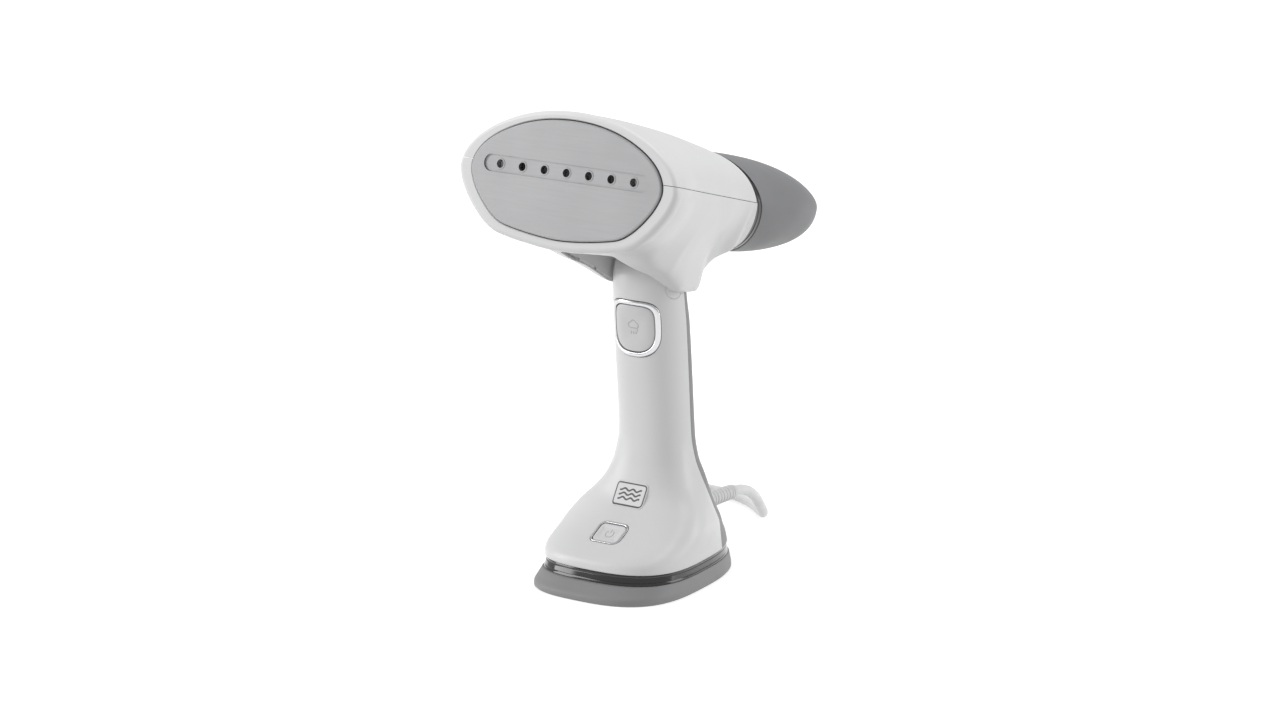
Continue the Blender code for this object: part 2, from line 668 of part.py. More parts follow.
def handle_ring(z, inset, count=RING_POINTS):
    """One outline of the handle: a narrow oval that spreads into the skirt and rounds off at the hinge."""
    front, rear, half_width = (smooth_value([(row[0], row[column]) for row in HANDLE_PROFILE], z)
                               for column in (1, 2, 3))
    depth = (rear - front) / 2 - inset
    if z > HINGE_Z:
        share = min((z - HINGE_Z) / (KNUCKLE_HEIGHT - inset), 0.999)
        depth = (KNUCKLE_DEPTH - inset) * (1 - share ** 2.5) ** 0.4
    middle = (front + rear) / 2
    taper = smooth_value(BASE_TAPER, z)
    roundness = smooth_value(BASE_POWER, z)
    return [(x * (1 - taper * y / depth), middle + y, z)
            for x, y in oval(half_width - inset, depth, depth, roundness, roundness, count)]


def handle_solid(name, inset, low=SKIRT_BOTTOM, high=None, count=RING_POINTS):
    stations = [z for z in HANDLE_STATIONS if low < z < (high or 999)]
    rings = [handle_ring(z, inset, count) for z in [low] + stations + ([high] if high else [])]
    if high is None:
        rings += [handle_ring(HINGE_Z + (KNUCKLE_HEIGHT - inset) * share, inset, count)
                  for share in (0.35, 0.6, 0.8, 0.92, 0.98)]
    return loft(name, rings)


def button_outline(inset, count=28):
    """Steam button outline (x, z): square shoulders above, rounder below."""
    return [(x, STEAM_BUTTON_Z + z) for x, z in oval(BUTTON_HALF_WIDTH - inset, BUTTON_UP - inset,
                                                     BUTTON_DOWN - inset, 4.6, 2.7, count)]


def power_frame():
    """Axes of the power button: its local z points out of the sloping skirt."""
    return Matrix.Translation(POWER_BUTTON_POINT) @ Matrix.Rotation(POWER_BUTTON_LEAN, 4, "X")


def handle_shells():
    shell = cut(handle_solid("handle", 0.0), handle_solid("hollow", HANDLE_WALL, SKIRT_BOTTOM - 2, count=20))
    seam = [(y, z) for z, y in SEAM_PROFILE]
    front_side = [(y - GAP / 2, z) for y, z in seam] + [(-90, 200), (-90, 5)]
    rear_side = [(y + GAP / 2, z) for y, z in seam] + [(90, 200), (90, 5)]
    front = copy_of(shell, "handle_front_shell")
    shell.name = "handle_rear_shell"
    keep_inside(front, prism("front_side", front_side, -60, 60, "x"))
    keep_inside(shell, prism("rear_side", rear_side, -60, 60, "x"))
    power_hole = move(prism("power_hole", rounded_box(10.6, 8.6, 4.6), -10, 12), power_frame())
    bores = [rod("bore", 4.4, side * 30, side * 12, "x", 16, (HINGE_Y, HINGE_Z)) for side in (1, -1)]
    cut(front, prism("steam_hole", button_outline(-0.3), -30, 6, "y"), power_hole, *bores)
    tools = [rod("cord_hole", 6.4, 40, 70, "y", 16, (0, 32.6))]
    tools += [rod("screw_hole", 3.3, 20, 60, "y", 12, (0, z)) for z in HANDLE_SCREW_HEIGHTS]
    tools += [rod("bore", 4.4, side * 30, side * 12, "x", 16, (HINGE_Y, HINGE_Z)) for side in (1, -1)]
    cut(shell, *tools)
    return [finish(front, "white_plastic"), finish(shell, "grey_plastic")]


def steam_button():
    low, high = STEAM_BUTTON_Z - 24, STEAM_BUTTON_Z + 21
    bezel = prism("steam_button_bezel", button_outline(0.0), -20, 4, "y")
    keep_inside(bezel, handle_solid("proud", -0.8, low, high))
    cut(bezel, handle_solid("under", 1.9, low, high), prism("middle", button_outline(BEZEL_WIDTH), -25, 9, "y"))
    cap = prism("steam_button", button_outline(BEZEL_WIDTH + 0.35), -20, 4, "y")
    keep_inside(cap, handle_solid("proud", -0.3, low, high))
    cut(cap, handle_solid("under", 2.0, low, high))
    join(cap, block("stem", (-2.6, -6.2, 146.4), (2.6, 0.4, 151.6)))
    spring = turned("steam_button_spring", [(4.6, -4.2), (5.8, -4.2), (5.8, 2.4), (4.6, 2.4)], "y", 12,
                    (0, STEAM_BUTTON_Z))
    switch = block("microswitch", (-10, 2.7, 144), (10, 9, 154))
    return [finish(bezel, "chrome"), finish(cap, "white_plastic"), finish(spring, "steel"),
            finish(switch, "black_plastic")]


def power_button():
    """Rounded square button on the skirt's front slope, with its ring, spring and switch."""
    ring = move(prism("power_button_ring", rounded_box(10.3, 8.3, 4.4), -9, 12), power_frame())
    keep_inside(ring, handle_solid("proud", -0.5, 17, 60))
    cut(ring, handle_solid("under", 1.9, 17, 60),
        move(prism("middle", rounded_box(9.1, 7.1, 3.6), -20, 20), power_frame()))
    cap = move(prism("power_button", rounded_box(8.8, 6.8, 3.4), -9, 12), power_frame())
    keep_inside(cap, handle_solid("proud", 0.0, 17, 60))
    cut(cap, handle_solid("under", 2.0, 17, 60))
    join(cap, move(block("stem", (-2, -2, -6), (2, 2, -0.8)), power_frame()))
    spring = move(turned("power_button_spring", [(3.2, -7.6), (4.2, -7.6), (4.2, -3.2), (3.2, -3.2)], "z", 12),
                  power_frame())
    switch = move(block("power_switch", (-6, -5, -13), (6, 5, -7.9)), power_frame())
    return [finish(ring, "chrome"), finish(cap, "white_plastic"), finish(spring, "steel"),
            finish(switch, "black_plastic")]


def badge():
    plate = prism("badge", [(x, BADGE_Z + z) for x, z in rounded_box(11.2, 6.6, 2.2)], -30, 10, "y")
    keep_inside(plate, handle_solid("proud", -0.9, 40, 64))
    return finish(cut(plate, handle_solid("under", -0.3, 40, 64)), "brushed_steel")


def hinge():
    """Studs of the collar turn in bushes through the knuckle's sides."""
    pieces = []
    for side, name in ((1, "right"), (-1, "left")):
        bush = turned(f"hinge_bush_{name}", [(2.9, side * 14), (4.1, side * 14), (4.1, side * 20.6),
                                             (5.9, side * 20.6), (5.9, side * 22.0), (2.9, side * 22.0)],
                      "x", 20, (HINGE_Y, HINGE_Z))
        cut(bush, handle_solid("knuckle", -0.15, 150))
        stud = rod(f"hinge_stud_{name}", 2.6, side * 12, side * 21.4, "x", 14, (HINGE_Y, HINGE_Z))
        head = rod("head", 1.5, side * 21.2, side * 23.4, "x", 14, (HINGE_Y, HINGE_Z))
        pieces += [finish(bush, "white_plastic"), finish(join(stud, head), "steel")]
    return pieces


# ---------------------------------------------------------------- foot and electrics

HANDLE_SCREW_HEIGHTS = (66.0, 128.0)
FOOT_SCREWS = ((0.0, -42.0), (-26.0, 34.0), (26.0, 34.0))


def base_outline(z, half_width, front, rear, count=36):
    middle, depth = (front + rear) / 2, (rear - front) / 2
    return [(x * (1 - 0.24 * y / depth), middle + y, z)
            for x, y in oval(half_width, depth, depth, 2.8, 2.8, count)]


def foot():
    """Open dish with a flat underside, flared at its lower edge, and the see-through band on it."""
    foot_piece = loft("base_foot", [base_outline(z, *sizes) for z, sizes in (
        (0.0, (42.6, -60.6, 64.8)), (1.0, (43.3, -61.4, 65.4)), (3.0, (43.4, -61.2, 65.2)),
        (6.5, (43.0, -57.5, 64.0)), (FOOT_HEIGHT, (42.4, -53.4, 62.8)))])
    cut(foot_piece, loft("dish", [base_outline(z, 39.0, -49.0, 58.6, 28) for z in (2.6, 12.0)]),
        *[rod("screw_hole", 2.1, -1, 5, "z", 12, place) for place in FOOT_SCREWS],
        *[rod("screw_seat", 4.1, -1, 1.9, "z", 12, place) for place in FOOT_SCREWS])
    low, high = FOOT_HEIGHT + GAP, SKIRT_BOTTOM - GAP
    inner, outer = (37.4, -46.4, 56.0), (41.2, -50.2, 60.0)
    band = loft("base_band", [base_outline(z, *sizes) for z, sizes in
                              ((low, inner), (low, outer), (high, outer), (high, inner))], closed_path=True)
    return [finish(foot_piece, "grey_plastic"), finish(band, "smoked_plastic")]


def screw(name, radius, length, head_radius, head_height, matrix):
    """Screw along local z, head at the bottom."""
    body = rod(name, radius, head_height, length, "z", 10)
    join(body, rod("head", head_radius, 0, head_height + 0.2, "z", 10))
    return finish(move(body, matrix), "steel")


def screws():
    pieces = [screw(f"foot_screw_{i + 1}", 1.8, 9.0, 3.7, 1.2, Matrix.Translation((x, y, 0.2)))
              for i, (x, y) in enumerate(FOOT_SCREWS)]
    for i, z in enumerate(HANDLE_SCREW_HEIGHTS):
        rear = smooth_value([(row[0], row[2]) for row in HANDLE_PROFILE], z)
        matrix = Matrix.Translation((0, rear - 0.4, z)) @ Matrix.Rotation(math.radians(90), 4, "X")
        pieces.append(screw(f"handle_screw_{i + 1}", 1.6, 10.0, 2.9, 1.6, matrix))
    return pieces


def electrics():
    board = block("circuit_board", (-13, 13.0, 74), (13, 14.6, 122))
    relay = block("relay", (-8, 3.4, 80), (8, 12.7, 99))
    clamp = block("cord_clamp", (-8, 38.0, 26.5), (8, 43.6, 41.9))
    cut(clamp, rod("way", 3.9, 20, 50, "y", 12, (0, 32.6)))
    lead = tube("supply_lead", through([(0, 44.9, 32.6), (0, 40, 32.6), (0, 35, 32.8), (0, 27, 36), (0, 20, 44), (0, 15.5, 56),
                                        (0, 13.8, 66), (0, 13.8, 73.4)], 16), 3.2, 8)
    return [finish(board, "board"), finish(relay, "black_plastic"), finish(clamp, "black_plastic"),
            finish(lead, "cord_white")]


# ---------------------------------------------------------------- cord

def cord_tube(name, points):
    """Free stretch of the cord: a round tube with closed ends."""
    line = bpy.data.curves.new(name, "CURVE")
    line.dimensions = "3D"
    line.bevel_depth = CORD_DIAMETER / 2 * MM
    line.bevel_resolution = 2
    line.use_fill_caps = True
    spline = line.splines.new("POLY")
    spline.points.add(len(points) - 1)
    for knot, point in zip(spline.points, points):
        knot.co = (*(point * MM), 1.0)
    line.materials.append(material("cord_white", *LOOKS["cord_white"]))
    return new_piece(name, line)


def strain_relief():
    rings = []
    for y, radius in ((47.0, 6.0), (53.4, 6.0), (60, 5.6), (75, 4.8), (91.2, 4.1)):
        rings.append([(a, y, 32.6 + b) for a, b in circle(radius, 16)])
    relief = loft("strain_relief", rings)
    flange = rod("flange", 7.6, 45.2, 47.2, "y", 16, (0, 32.6))
    return finish(join(relief, flange), "white_plastic")


def hank_frame():
    """Axes of the hank: its local x runs along it, away from the foot."""
    return Matrix.Translation((*HANK_CENTRE, 0)) @ Matrix.Rotation(HANK_ANGLE, 4, "Z")


def hank():
    """Outer shape of the wound cord, and the strap round it."""
    radius = HANK_TURN_WIDTH / 2 + CORD_DIAMETER
    outline = []
    for side in (1, -1):
        for step in range(11):
            angle = side * math.pi / 2 - math.pi * step / 10
            outline.append((side * (HANK_RUN / 2 + abs(radius * math.cos(angle))), radius * math.sin(angle)))
    height = HANK_LIFT + HANK_LAYERS * CORD_DIAMETER
    body = move(prism("cord_hank", outline, HANK_LIFT, height), hank_frame())
    half, across = TIE_WIDTH / 2, radius + GAP + TIE_THICKNESS
    top = height + GAP + TIE_THICKNESS
    strap = block("cord_tie", (TIE_ALONG - half, -across, 0), (TIE_ALONG + half, across, top))
    cut(strap, block("inside", (TIE_ALONG - 9, -across + TIE_THICKNESS, TIE_THICKNESS),
                     (TIE_ALONG + 9, across - TIE_THICKNESS, top - TIE_THICKNESS)))
    return [finish(body, "cord_white"), finish(move(strap, hank_frame()), "black_plastic")]


def plug():
    """Grounded plug on top of the hank: tapered body, two flat blades and a round pin."""
    place = hank_frame() @ Matrix.Translation((-8.4, 0.8, 29.2))
    body = loft("plug_body", [[(x, a, b) for a, b in rounded_box(half_y, half_z, corner)]
                              for x, half_y, half_z, corner in (
        (0, 4.4, 4.4, 4.0), (-12, 5.2, 5.2, 4.0), (-16, 9.0, 7.6, 4.0), (-26, 12.0, 8.8, 5.0),
        (-36, 12.6, 9.2, 5.0))])
    pieces = [finish(move(body, place), "cord_white")]
    for side, name in ((1, "right"), (-1, "left")):
        blade = block(f"plug_blade_{name}", (-53, side * 6.35 - 0.75, -1.0), (-36.3, side * 6.35 + 0.75, 5.4))
        pieces.append(finish(move(blade, place), "brass"))
    pin = rod("plug_earth_pin", 2.4, -56, -36.3, "x", 12, (0, -5.2))
    return pieces + [finish(move(pin, place), "brass")]


def cord():
    lead = cord_tube("cord_run", through(CORD_ROUTE, CORD_POINTS))
    frame = hank_frame()
    tail = cord_tube("cord_tail", [frame @ point for point in through(TAIL_ROUTE, 12)])
    return [strain_relief(), lead, tail, *hank(), *plug()]


# ---------------------------------------------------------------- assembly

def axis_empty(name, place):
    """Empty on a joint's axis, which carries the pieces that move with it."""
    empty = bpy.data.objects.new(name, None)
    empty.empty_display_size = 0.02
    empty.location = Vector(place) * MM
    bpy.context.scene.collection.objects.link(empty)
    bpy.context.view_layer.update()
    return empty


def carry(empty, pieces):
    for piece in pieces:
        piece.parent = empty
        piece.matrix_parent_inverse = empty.matrix_world.inverted()
    bpy.context.view_layer.update()


def place_in_head(pieces):
    for piece in pieces:
        move(piece, HEAD_FRAME)
    return pieces


def build():
    for item in list(bpy.data.objects):
        bpy.data.objects.remove(item, do_unlink=True)
    handle_shells()
    badge()
    foot()
    screws()
    electrics()
    cord()
    bezel, cap, spring, *_ = steam_button()
    ring, power_cap, power_spring, _ = power_button()
    bush_right, stud_right, bush_left, stud_left = hinge()

    pump_body, saddle, plunger, pump_spring, outlet, inlet = pump()
    lid, lid_seal = fill_lid()
    tank_pieces = [water_tank(), joint_ring("tank_ring", "smoked_plastic", GAP, TANK_RING, 0.7, 4.2)]
    seal, valve, straw = tank_fittings()
    fixed = [*head_shells(), steam_plate(), plate_band("plate_gasket", "rubber", 0.6, 8.0, PLATE_BACK + GAP, 6.0),
             *steam_chamber(), *controls_in_head(), pump_body, saddle, outlet, inlet, *hoses(), tank_socket(),
             seal]
    place_in_head([*fixed, plunger, pump_spring, *tank_pieces, valve, straw, lid, lid_seal])

    head_empty = axis_empty("head_hinge", (0, HINGE_Y, HINGE_Z))
    tank_empty = axis_empty("tank_way", HEAD_FRAME @ Vector((0, JOINT_S, -10)))
    lid_empty = axis_empty("lid_hinge", HEAD_FRAME @ Vector((0, LID_HINGE_S, FILL_T - 2.2)))
    pump_empty = axis_empty("pump_way", HEAD_FRAME @ Vector((0, 80, 4)))
    carry(axis_empty("steam_button_way", (0, 0, STEAM_BUTTON_Z)), [cap])
    carry(axis_empty("power_button_way", POWER_BUTTON_POINT), [power_cap])
    carry(lid_empty, [lid, lid_seal])
    carry(tank_empty, [*tank_pieces, valve, straw, lid_empty])
    carry(pump_empty, [plunger])
    carry(head_empty, [*fixed, pump_spring, stud_right, stud_left, tank_empty, pump_empty])


build()
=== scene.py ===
"""Looks of a handheld garment steamer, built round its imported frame.

Lengths are in millimetres and turn into metres where a mesh is made. The handle and foot are described in
world axes: x to the right, y to the rear, z up. The head and tank are described in the head's own axes:
x to the right, s rearward from the steam plate's face, t up, tilted nose up.
"""
import json
import math

import bmesh
import bpy
from mathutils import Matrix, Vector
from mathutils.bvhtree import BVHTree


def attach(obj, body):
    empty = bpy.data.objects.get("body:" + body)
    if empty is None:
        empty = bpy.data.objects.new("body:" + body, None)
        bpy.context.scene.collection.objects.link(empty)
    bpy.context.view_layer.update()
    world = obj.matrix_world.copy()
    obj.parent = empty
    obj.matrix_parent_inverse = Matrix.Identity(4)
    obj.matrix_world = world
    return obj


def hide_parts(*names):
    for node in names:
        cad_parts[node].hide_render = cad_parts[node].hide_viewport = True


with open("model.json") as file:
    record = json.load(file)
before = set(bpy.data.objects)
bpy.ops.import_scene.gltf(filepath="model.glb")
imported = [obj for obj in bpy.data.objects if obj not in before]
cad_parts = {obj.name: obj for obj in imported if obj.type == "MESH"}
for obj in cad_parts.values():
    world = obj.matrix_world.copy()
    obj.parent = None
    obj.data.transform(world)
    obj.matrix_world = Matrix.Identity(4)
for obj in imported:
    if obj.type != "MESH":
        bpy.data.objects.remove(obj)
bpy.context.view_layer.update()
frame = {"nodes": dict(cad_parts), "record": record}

MM = 0.001
GAP = 0.3
MERGE_DISTANCE = 0.00001

# Head.
PLATE_CENTRE = (0.0, -68.5, 243.2)
HEAD_TILT = math.radians(12.5)
HINGE_Z = 172.0
HINGE_AXIS = (5.0, HINGE_Z)
HEAD_WALL = 2.4
RIM_RADIUS = 3.0
SEAM_FRONT = 5.0
SEAM_SLOPE = -0.036
HEAD_HALF_WIDTH = ((0, 76.3), (6, 75.6), (40, 62.4), (80, 49.5), (120, 37.5), (141, 31.8), (172, 29.0))
HEAD_TOP = ((0, 38.5), (25, 37.6), (65, 34.6), (105, 29.2), (128, 25.5), (150, 23.4), (172, 22.0))
HEAD_BOTTOM = ((0, -39.5), (20, -39.9), (46, -41.2), (70, -40.8), (95, -37.2), (125, -32.6), (155, -31.0),
               (172, -30.4))

# Hinge collar under the head along s, and the opening that the handle folds into along y.
COLLAR_HALF_WIDTH = ((34, 38), (58, 38), (67, 36), (77, 33.6), (88, 30.4), (98, 27.6), (104, 25.8), (108, 24),
                     (113, 21.7), (121, 22), (131, 26))
COLLAR_EDGE = ((34, -36), (46, -42), (58, -45.5), (66.5, -49.0), (76.6, -53.0), (83, -55.1), (90, -55.8),
               (108, -55.4), (110.5, -50), (113.5, -44.4), (117, -39.5), (121, -35.4), (127, -31), (133, -28))
COLLAR_BLEND = 18.0
COLLAR_FADE = (24.0, 36.0, 131.0, 145.0)
SLOT_OUTLINE = ((-66, 0.6), (-64.5, 9), (-60, 16), (-52, 20), (-40, 22), (-28, 22.4), (-1, 22.4), (10, 22.4),
                (20, 22.4), (25, 20), (26.9, 15))
POCKET_WALL = 1.6
HINGE_BUSH_RADIUS = 5.85
HINGE_BORE_RADIUS = 6.05
HINGE_STUD_RADIUS = 2.6

# Steam plate.
PLATE_HALF_WIDTH = 66.3
PLATE_HALF_HEIGHT = 33.3
PLATE_EDGE = ((0, 33.2), (16, 32.2), (30, 29.4), (42, 25.2), (52.5, 19.8), (60.5, 13.4), (65.2, 6.4),
              (66.2, -0.5), (63.2, -8), (58.8, -14.2), (53.8, -19.6), (48.4, -24.2), (42, -27.9), (33, -30.1),
              (16, -32.4), (0, -33.4))
PLATE_PROUD = 1.0
PLATE_BACK = 2.7
STEAM_HOLES = 7
STEAM_HOLE_PITCH = 15.55
STEAM_HOLE_RADIUS = 2.4
STEAM_ROW_T = 4.1
STEAM_SLOT_HALF = 57.7
STEAM_SLOT_RADIUS = 4.85
STEAM_SLOT_DEPTH = 0.9

# Tank.
JOINT_S = 140.9
JOINT_T = -0.2
JOINT_LEAN = math.radians(28.6)
JOINT_BOW = 0.0133
TANK_RING = 5.0
TANK_LENGTH = 85.2
TANK_WALL = 1.8
TANK_HALF_WIDTH = 31.8
TANK_UP = 25.7
TANK_DOWN = 30.6
PORT_T = -10.0
PORT_RADIUS = 5.6
FILL_S = 185.0
FILL_T = -24.8
FILL_RADIUS = 6.5
LID_RADIUS = 9.5
LID_HINGE_S = 197.0

# Handle and foot.
HANDLE_WALL = 2.2
KNUCKLE_DEPTH = 17.0
KNUCKLE_HEIGHT = 16.0
SKIRT_BOTTOM = 16.0
STEAM_BUTTON_Z = 149.0
BUTTON_HALF_WIDTH = 16.6
BUTTON_UP = 15.6
BUTTON_DOWN = 17.4
BEZEL_WIDTH = 2.7
POWER_BUTTON_POINT = (0.0, -29.0, 32.5)
POWER_BUTTON_LEAN = math.radians(36.0)
POWER_HALF_WIDTH = 10.3
POWER_HALF_HEIGHT = 8.3
POWER_CORNER = 4.4
BADGE_Z = 51.4
BADGE_HALF_WIDTH = 11.2
BADGE_HALF_HEIGHT = 6.6
BADGE_CORNER = 2.2
HOLE_GAP = 0.25
HANDLE_PROFILE = (
    (16, -51.2, 61, 42.0), (20, -50.6, 60.6, 42.0), (23, -47.6, 59.6, 42.0), (27, -39.8, 57.2, 41.8),
    (32.5, -29, 54.6, 41.2), (41, -18, 50.2, 37.6), (51, -9, 45, 32.0), (60, -6, 41, 27.6),
    (70, -3.5, 37, 24.2), (84, -2, 34.3, 22.4), (120, -4.5, 31.8, 22.1), (149, -7, 29.4, 22.0),
    (171, -8, 26, 21.6), (190, -8, 26, 21.2),
)
BASE_TAPER = ((16, 0.24), (27, 0.3), (41, 0.36), (60, 0.12), (84, 0.0))
BASE_POWER = ((16, 2.8), (41, 2.7), (60, 2.5), (84, 2.35))
SEAM_PROFILE = ((5, 32), (23, 32), (32.5, 31), (41, 28.5), (60, 23.6), (84, 19.6), (120, 17.4), (149, 15.4),
                (171, 13.6), (200, 14.5))
HANDLE_SCREW_HEIGHTS = (66.0, 128.0)
FOOT_SCREWS = ((0.0, -42.0), (-26.0, 34.0), (26.0, 34.0))
FOOT_HEIGHT = 10.0
FOOT_PROFILE = ((0.0, 42.6, -60.6, 64.8), (1.0, 43.3, -61.4, 65.4), (3.0, 43.4, -61.2, 65.2),
                (6.5, 43.0, -57.5, 64.0), (10.0, 42.4, -53.4, 62.8))

# Cord: its size, its route to the hank, and the hank.
CORD_DIAMETER = 6.2
CORD_EXIT = (0.0, 91.5, 32.6)
CORD_ROUTE = (
    CORD_EXIT, (0, 99, 31.9), (-0.6, 108, 28.8), (-2.4, 117, 23.2), (-6.0, 127, 15.4),
    (-11.5, 137.5, 8.4), (-20.5, 149, 4.6), (-32, 159.5, 3.5), (-45, 168.5, 3.5), (-60, 174, 3.7),
    (-74, 175.3, 4.0), (-84.8, 175.3, 4.1),
)
TAIL_ROUTE = ((47.5, 20.4, 23.0), (38, 20.2, 23.2), (28, 17.6, 24.6), (18, 12.0, 26.8), (8, 5.2, 28.5),
              (-1, 1.8, 29.1), (-8, 0.8, 29.2))
HANK_CENTRE = (-74.5, 113.0)
HANK_ANGLE = math.radians(127.0)
HANK_RUN = 94.0
HANK_TURN_WIDTH = 43.4
HANK_LIFT = 1.0
HANK_LAYERS = 3
HANK_TURNS = 5
HANK_START = math.radians(-37.0)
STEPS_PER_TURN = 80
TIE_WIDTH = 8.0
TIE_THICKNESS = 0.6
TIE_ALONG = -22.0

# Camera: the target it looks at, its distance, and how far round and up it stands.
CAMERA_TARGET = (0.0, 0.0, 0.1285)
CAMERA_DISTANCE = 2.8
CAMERA_AZIMUTH = math.radians(37.0)
CAMERA_ELEVATION = math.radians(13.0)
CAMERA_LENS = 138.2
LIGHT_TARGET = (0.0, 0.0, 0.15)
FLOOR_HALF = 9000.0


# ---- curves and outlines

def smooth_value(points, at):
    """Value at a place on a smooth curve through (place, value) points that never overshoots them."""
    places = [p[0] for p in points]
    values = [p[1] for p in points]
    if at <= places[0]:
        return values[0]
    if at >= places[-1]:
        return values[-1]
    last = len(points) - 1
    chords = [(values[i + 1] - values[i]) / (places[i + 1] - places[i]) for i in range(last)]

    def slope(i):
        if i in (0, last):
            return chords[min(i, last - 1)]
        before, after = chords[i - 1], chords[i]
        if before * after <= 0:
            return 0.0
        return 2 * before * after / (before + after)

    i = max(k for k in range(last) if places[k] <= at)
    width = places[i + 1] - places[i]
    u = (at - places[i]) / width
    return (
        values[i] * (1 + 2 * u) * (1 - u) ** 2
        + slope(i) * width * u * (1 - u) ** 2
        + values[i + 1] * u * u * (3 - 2 * u)
        - slope(i + 1) * width * u * u * (1 - u)
    )


def smooth_column(rows, column, at):
    """Smooth value from one column of a table whose first column is the place."""
    return smooth_value([(row[0], row[column]) for row in rows], at)


def ease(low, high, at):
    """0 before low, 1 after high, and a smooth rise between them."""
    u = min(max((at - low) / (high - low), 0.0), 1.0)
    return u * u * (3 - 2 * u)


def spaced(low, high, step):
    """Even places from low to high, about a step apart."""
    count = max(round((high - low) / step), 1)
    return [low + (high - low) * i / count for i in range(count + 1)]


def power(value, exponent):
    return math.copysign(abs(value) ** exponent, value)


def oval(half_width, up, down, power_up, power_down, count, count_below=None):
    """Points (x, y) of an outline with its own height and roundness above and below its widest line."""
    above, below = count // 2, (count_below or count) // 2
    angles = [math.pi * step / above for step in range(above)]
    angles += [math.pi + math.pi * step / below for step in range(below)]
    ring = []
    for angle in angles:
        upper = angle <= math.pi
        exponent = 2 / (power_up if upper else power_down)
        x = half_width * power(math.cos(angle), exponent)
        ring.append((x, (up if upper else down) * power(math.sin(angle), exponent)))
    return ring


def rounded_box(half_x, half_y, radius, steps=10):
    """Points of a rectangle with round corners."""
    ring = []
    for corner, (sx, sy) in enumerate(((1, 1), (-1, 1), (-1, -1), (1, -1))):
        for step in range(steps + 1):
            angle = math.pi / 2 * (corner + step / steps)
            x = sx * (half_x - radius) + radius * math.cos(angle)
            ring.append((x, sy * (half_y - radius) + radius * math.sin(angle)))
    return ring


def circle(radius, count=48, centre=(0.0, 0.0)):
    return [(centre[0] + radius * math.cos(math.tau * i / count),
             centre[1] + radius * math.sin(math.tau * i / count)) for i in range(count)]


def through(points, count, closed=False):
    """Points at even steps along a smooth Catmull-Rom curve through the given points."""
    knots = [Vector(p) for p in points]
    if closed:
        knots = [knots[-1], *knots, knots[0], knots[1]]
    else:
        knots = [2 * knots[0] - knots[1], *knots, 2 * knots[-1] - knots[-2]]
    fine = []
    for i in range(1, len(knots) - 2):
        a, b, c, d = knots[i - 1:i + 3]
        for step in range(20):
            u = step / 20
            fine.append(0.5 * (2 * b + (c - a) * u + (2 * a - 5 * b + 4 * c - d) * u ** 2
                               + (3 * b - a - 3 * c + d) * u ** 3))
    fine.append(knots[-2])
    travelled = [0.0]
    for before, after in zip(fine, fine[1:]):
        travelled.append(travelled[-1] + (after - before).length)
    even = []
    for step in range(count):
        target = travelled[-1] * step / (count if closed else count - 1)
        i = max(k for k in range(len(fine) - 1) if travelled[k] <= target + 1e-9)
        share = (target - travelled[i]) / max(travelled[i + 1] - travelled[i], 1e-9)
        even.append(fine[i].lerp(fine[i + 1], min(share, 1.0)))
    return even


# ---- solids

def new_piece(name, mesh):
    piece = bpy.data.objects.new(name, mesh)
    bpy.context.scene.collection.objects.link(piece)
    return piece


def loft(name, rings, closed_path=False):
    """Solid through a row of rings, with flat ends, or a tube whose last ring joins its first."""
    shape = bmesh.new()
    rows = [[shape.verts.new(Vector(point) * MM) for point in ring] for ring in rings]
    count = len(rows[0])
    pairs = list(zip(rows, rows[1:]))
    if closed_path:
        pairs.append((rows[-1], rows[0]))
    for row, following in pairs:
        for i in range(count):
            j = (i + 1) % count
            shape.faces.new((row[i], row[j], following[j], following[i]))
    if not closed_path:
        shape.faces.new(rows[0])
        shape.faces.new(rows[-1])
    bmesh.ops.recalc_face_normals(shape, faces=shape.faces)
    mesh = bpy.data.meshes.new(name)
    shape.to_mesh(mesh)
    shape.free()
    return new_piece(name, mesh)


ORDER = {"z": lambda a, b, h: (a, b, h), "y": lambda a, b, h: (a, h, b), "x": lambda a, b, h: (h, a, b)}


def prism(name, outline, low, high, axis="z"):
    """Straight solid of an outline between two heights along an axis."""
    return loft(name, [[ORDER[axis](a, b, height) for a, b in outline] for height in (low, high)])


def block(name, low, high):
    outline = [(low[0], low[1]), (high[0], low[1]), (high[0], high[1]), (low[0], high[1])]
    return prism(name, outline, low[2], high[2])


def turned(name, profile, axis="z", count=48, centre=(0.0, 0.0)):
    """Solid turned round an axis from (radius, height) points."""
    rings = [[ORDER[axis](a, b, height) for a, b in circle(radius, count, centre)]
             for radius, height in profile]
    return loft(name, rings)


def rod(name, radius, low, high, axis="z", count=48, centre=(0.0, 0.0)):
    return prism(name, circle(radius, count, centre), low, high, axis)


def move(piece, matrix):
    scaled = matrix.copy()
    scaled.translation = matrix.translation * MM
    piece.data.transform(scaled)
    return piece


def combine(target, tools, operation):
    """Apply Booleans to the target and remove the tools."""
    for tool in tools:
        change = target.modifiers.new(operation.lower(), "BOOLEAN")
        change.operation = operation
        change.object = tool
        change.solver = "EXACT"
    apply_modifiers(target)
    shape = bmesh.new()
    shape.from_mesh(target.data)
    bmesh.ops.remove_doubles(shape, verts=shape.verts, dist=MERGE_DISTANCE)
    bmesh.ops.dissolve_degenerate(shape, edges=shape.edges, dist=MERGE_DISTANCE)
    shape.to_mesh(target.data)
    shape.free()
    for tool in tools:
        bpy.data.objects.remove(tool, do_unlink=True)
    return target


def apply_modifiers(target):
    bpy.context.view_layer.update()
    graph = bpy.context.evaluated_depsgraph_get()
    mesh = bpy.data.meshes.new_from_object(target.evaluated_get(graph))
    target.modifiers.clear()
    target.data = mesh
    return target


def cut(target, *tools):
    return combine(target, tools, "DIFFERENCE")


def join(target, *tools):
    return combine(target, tools, "UNION")


def keep_inside(target, *tools):
    return combine(target, tools, "INTERSECT")


def copy_of(piece, name):
    return new_piece(name, piece.data.copy())


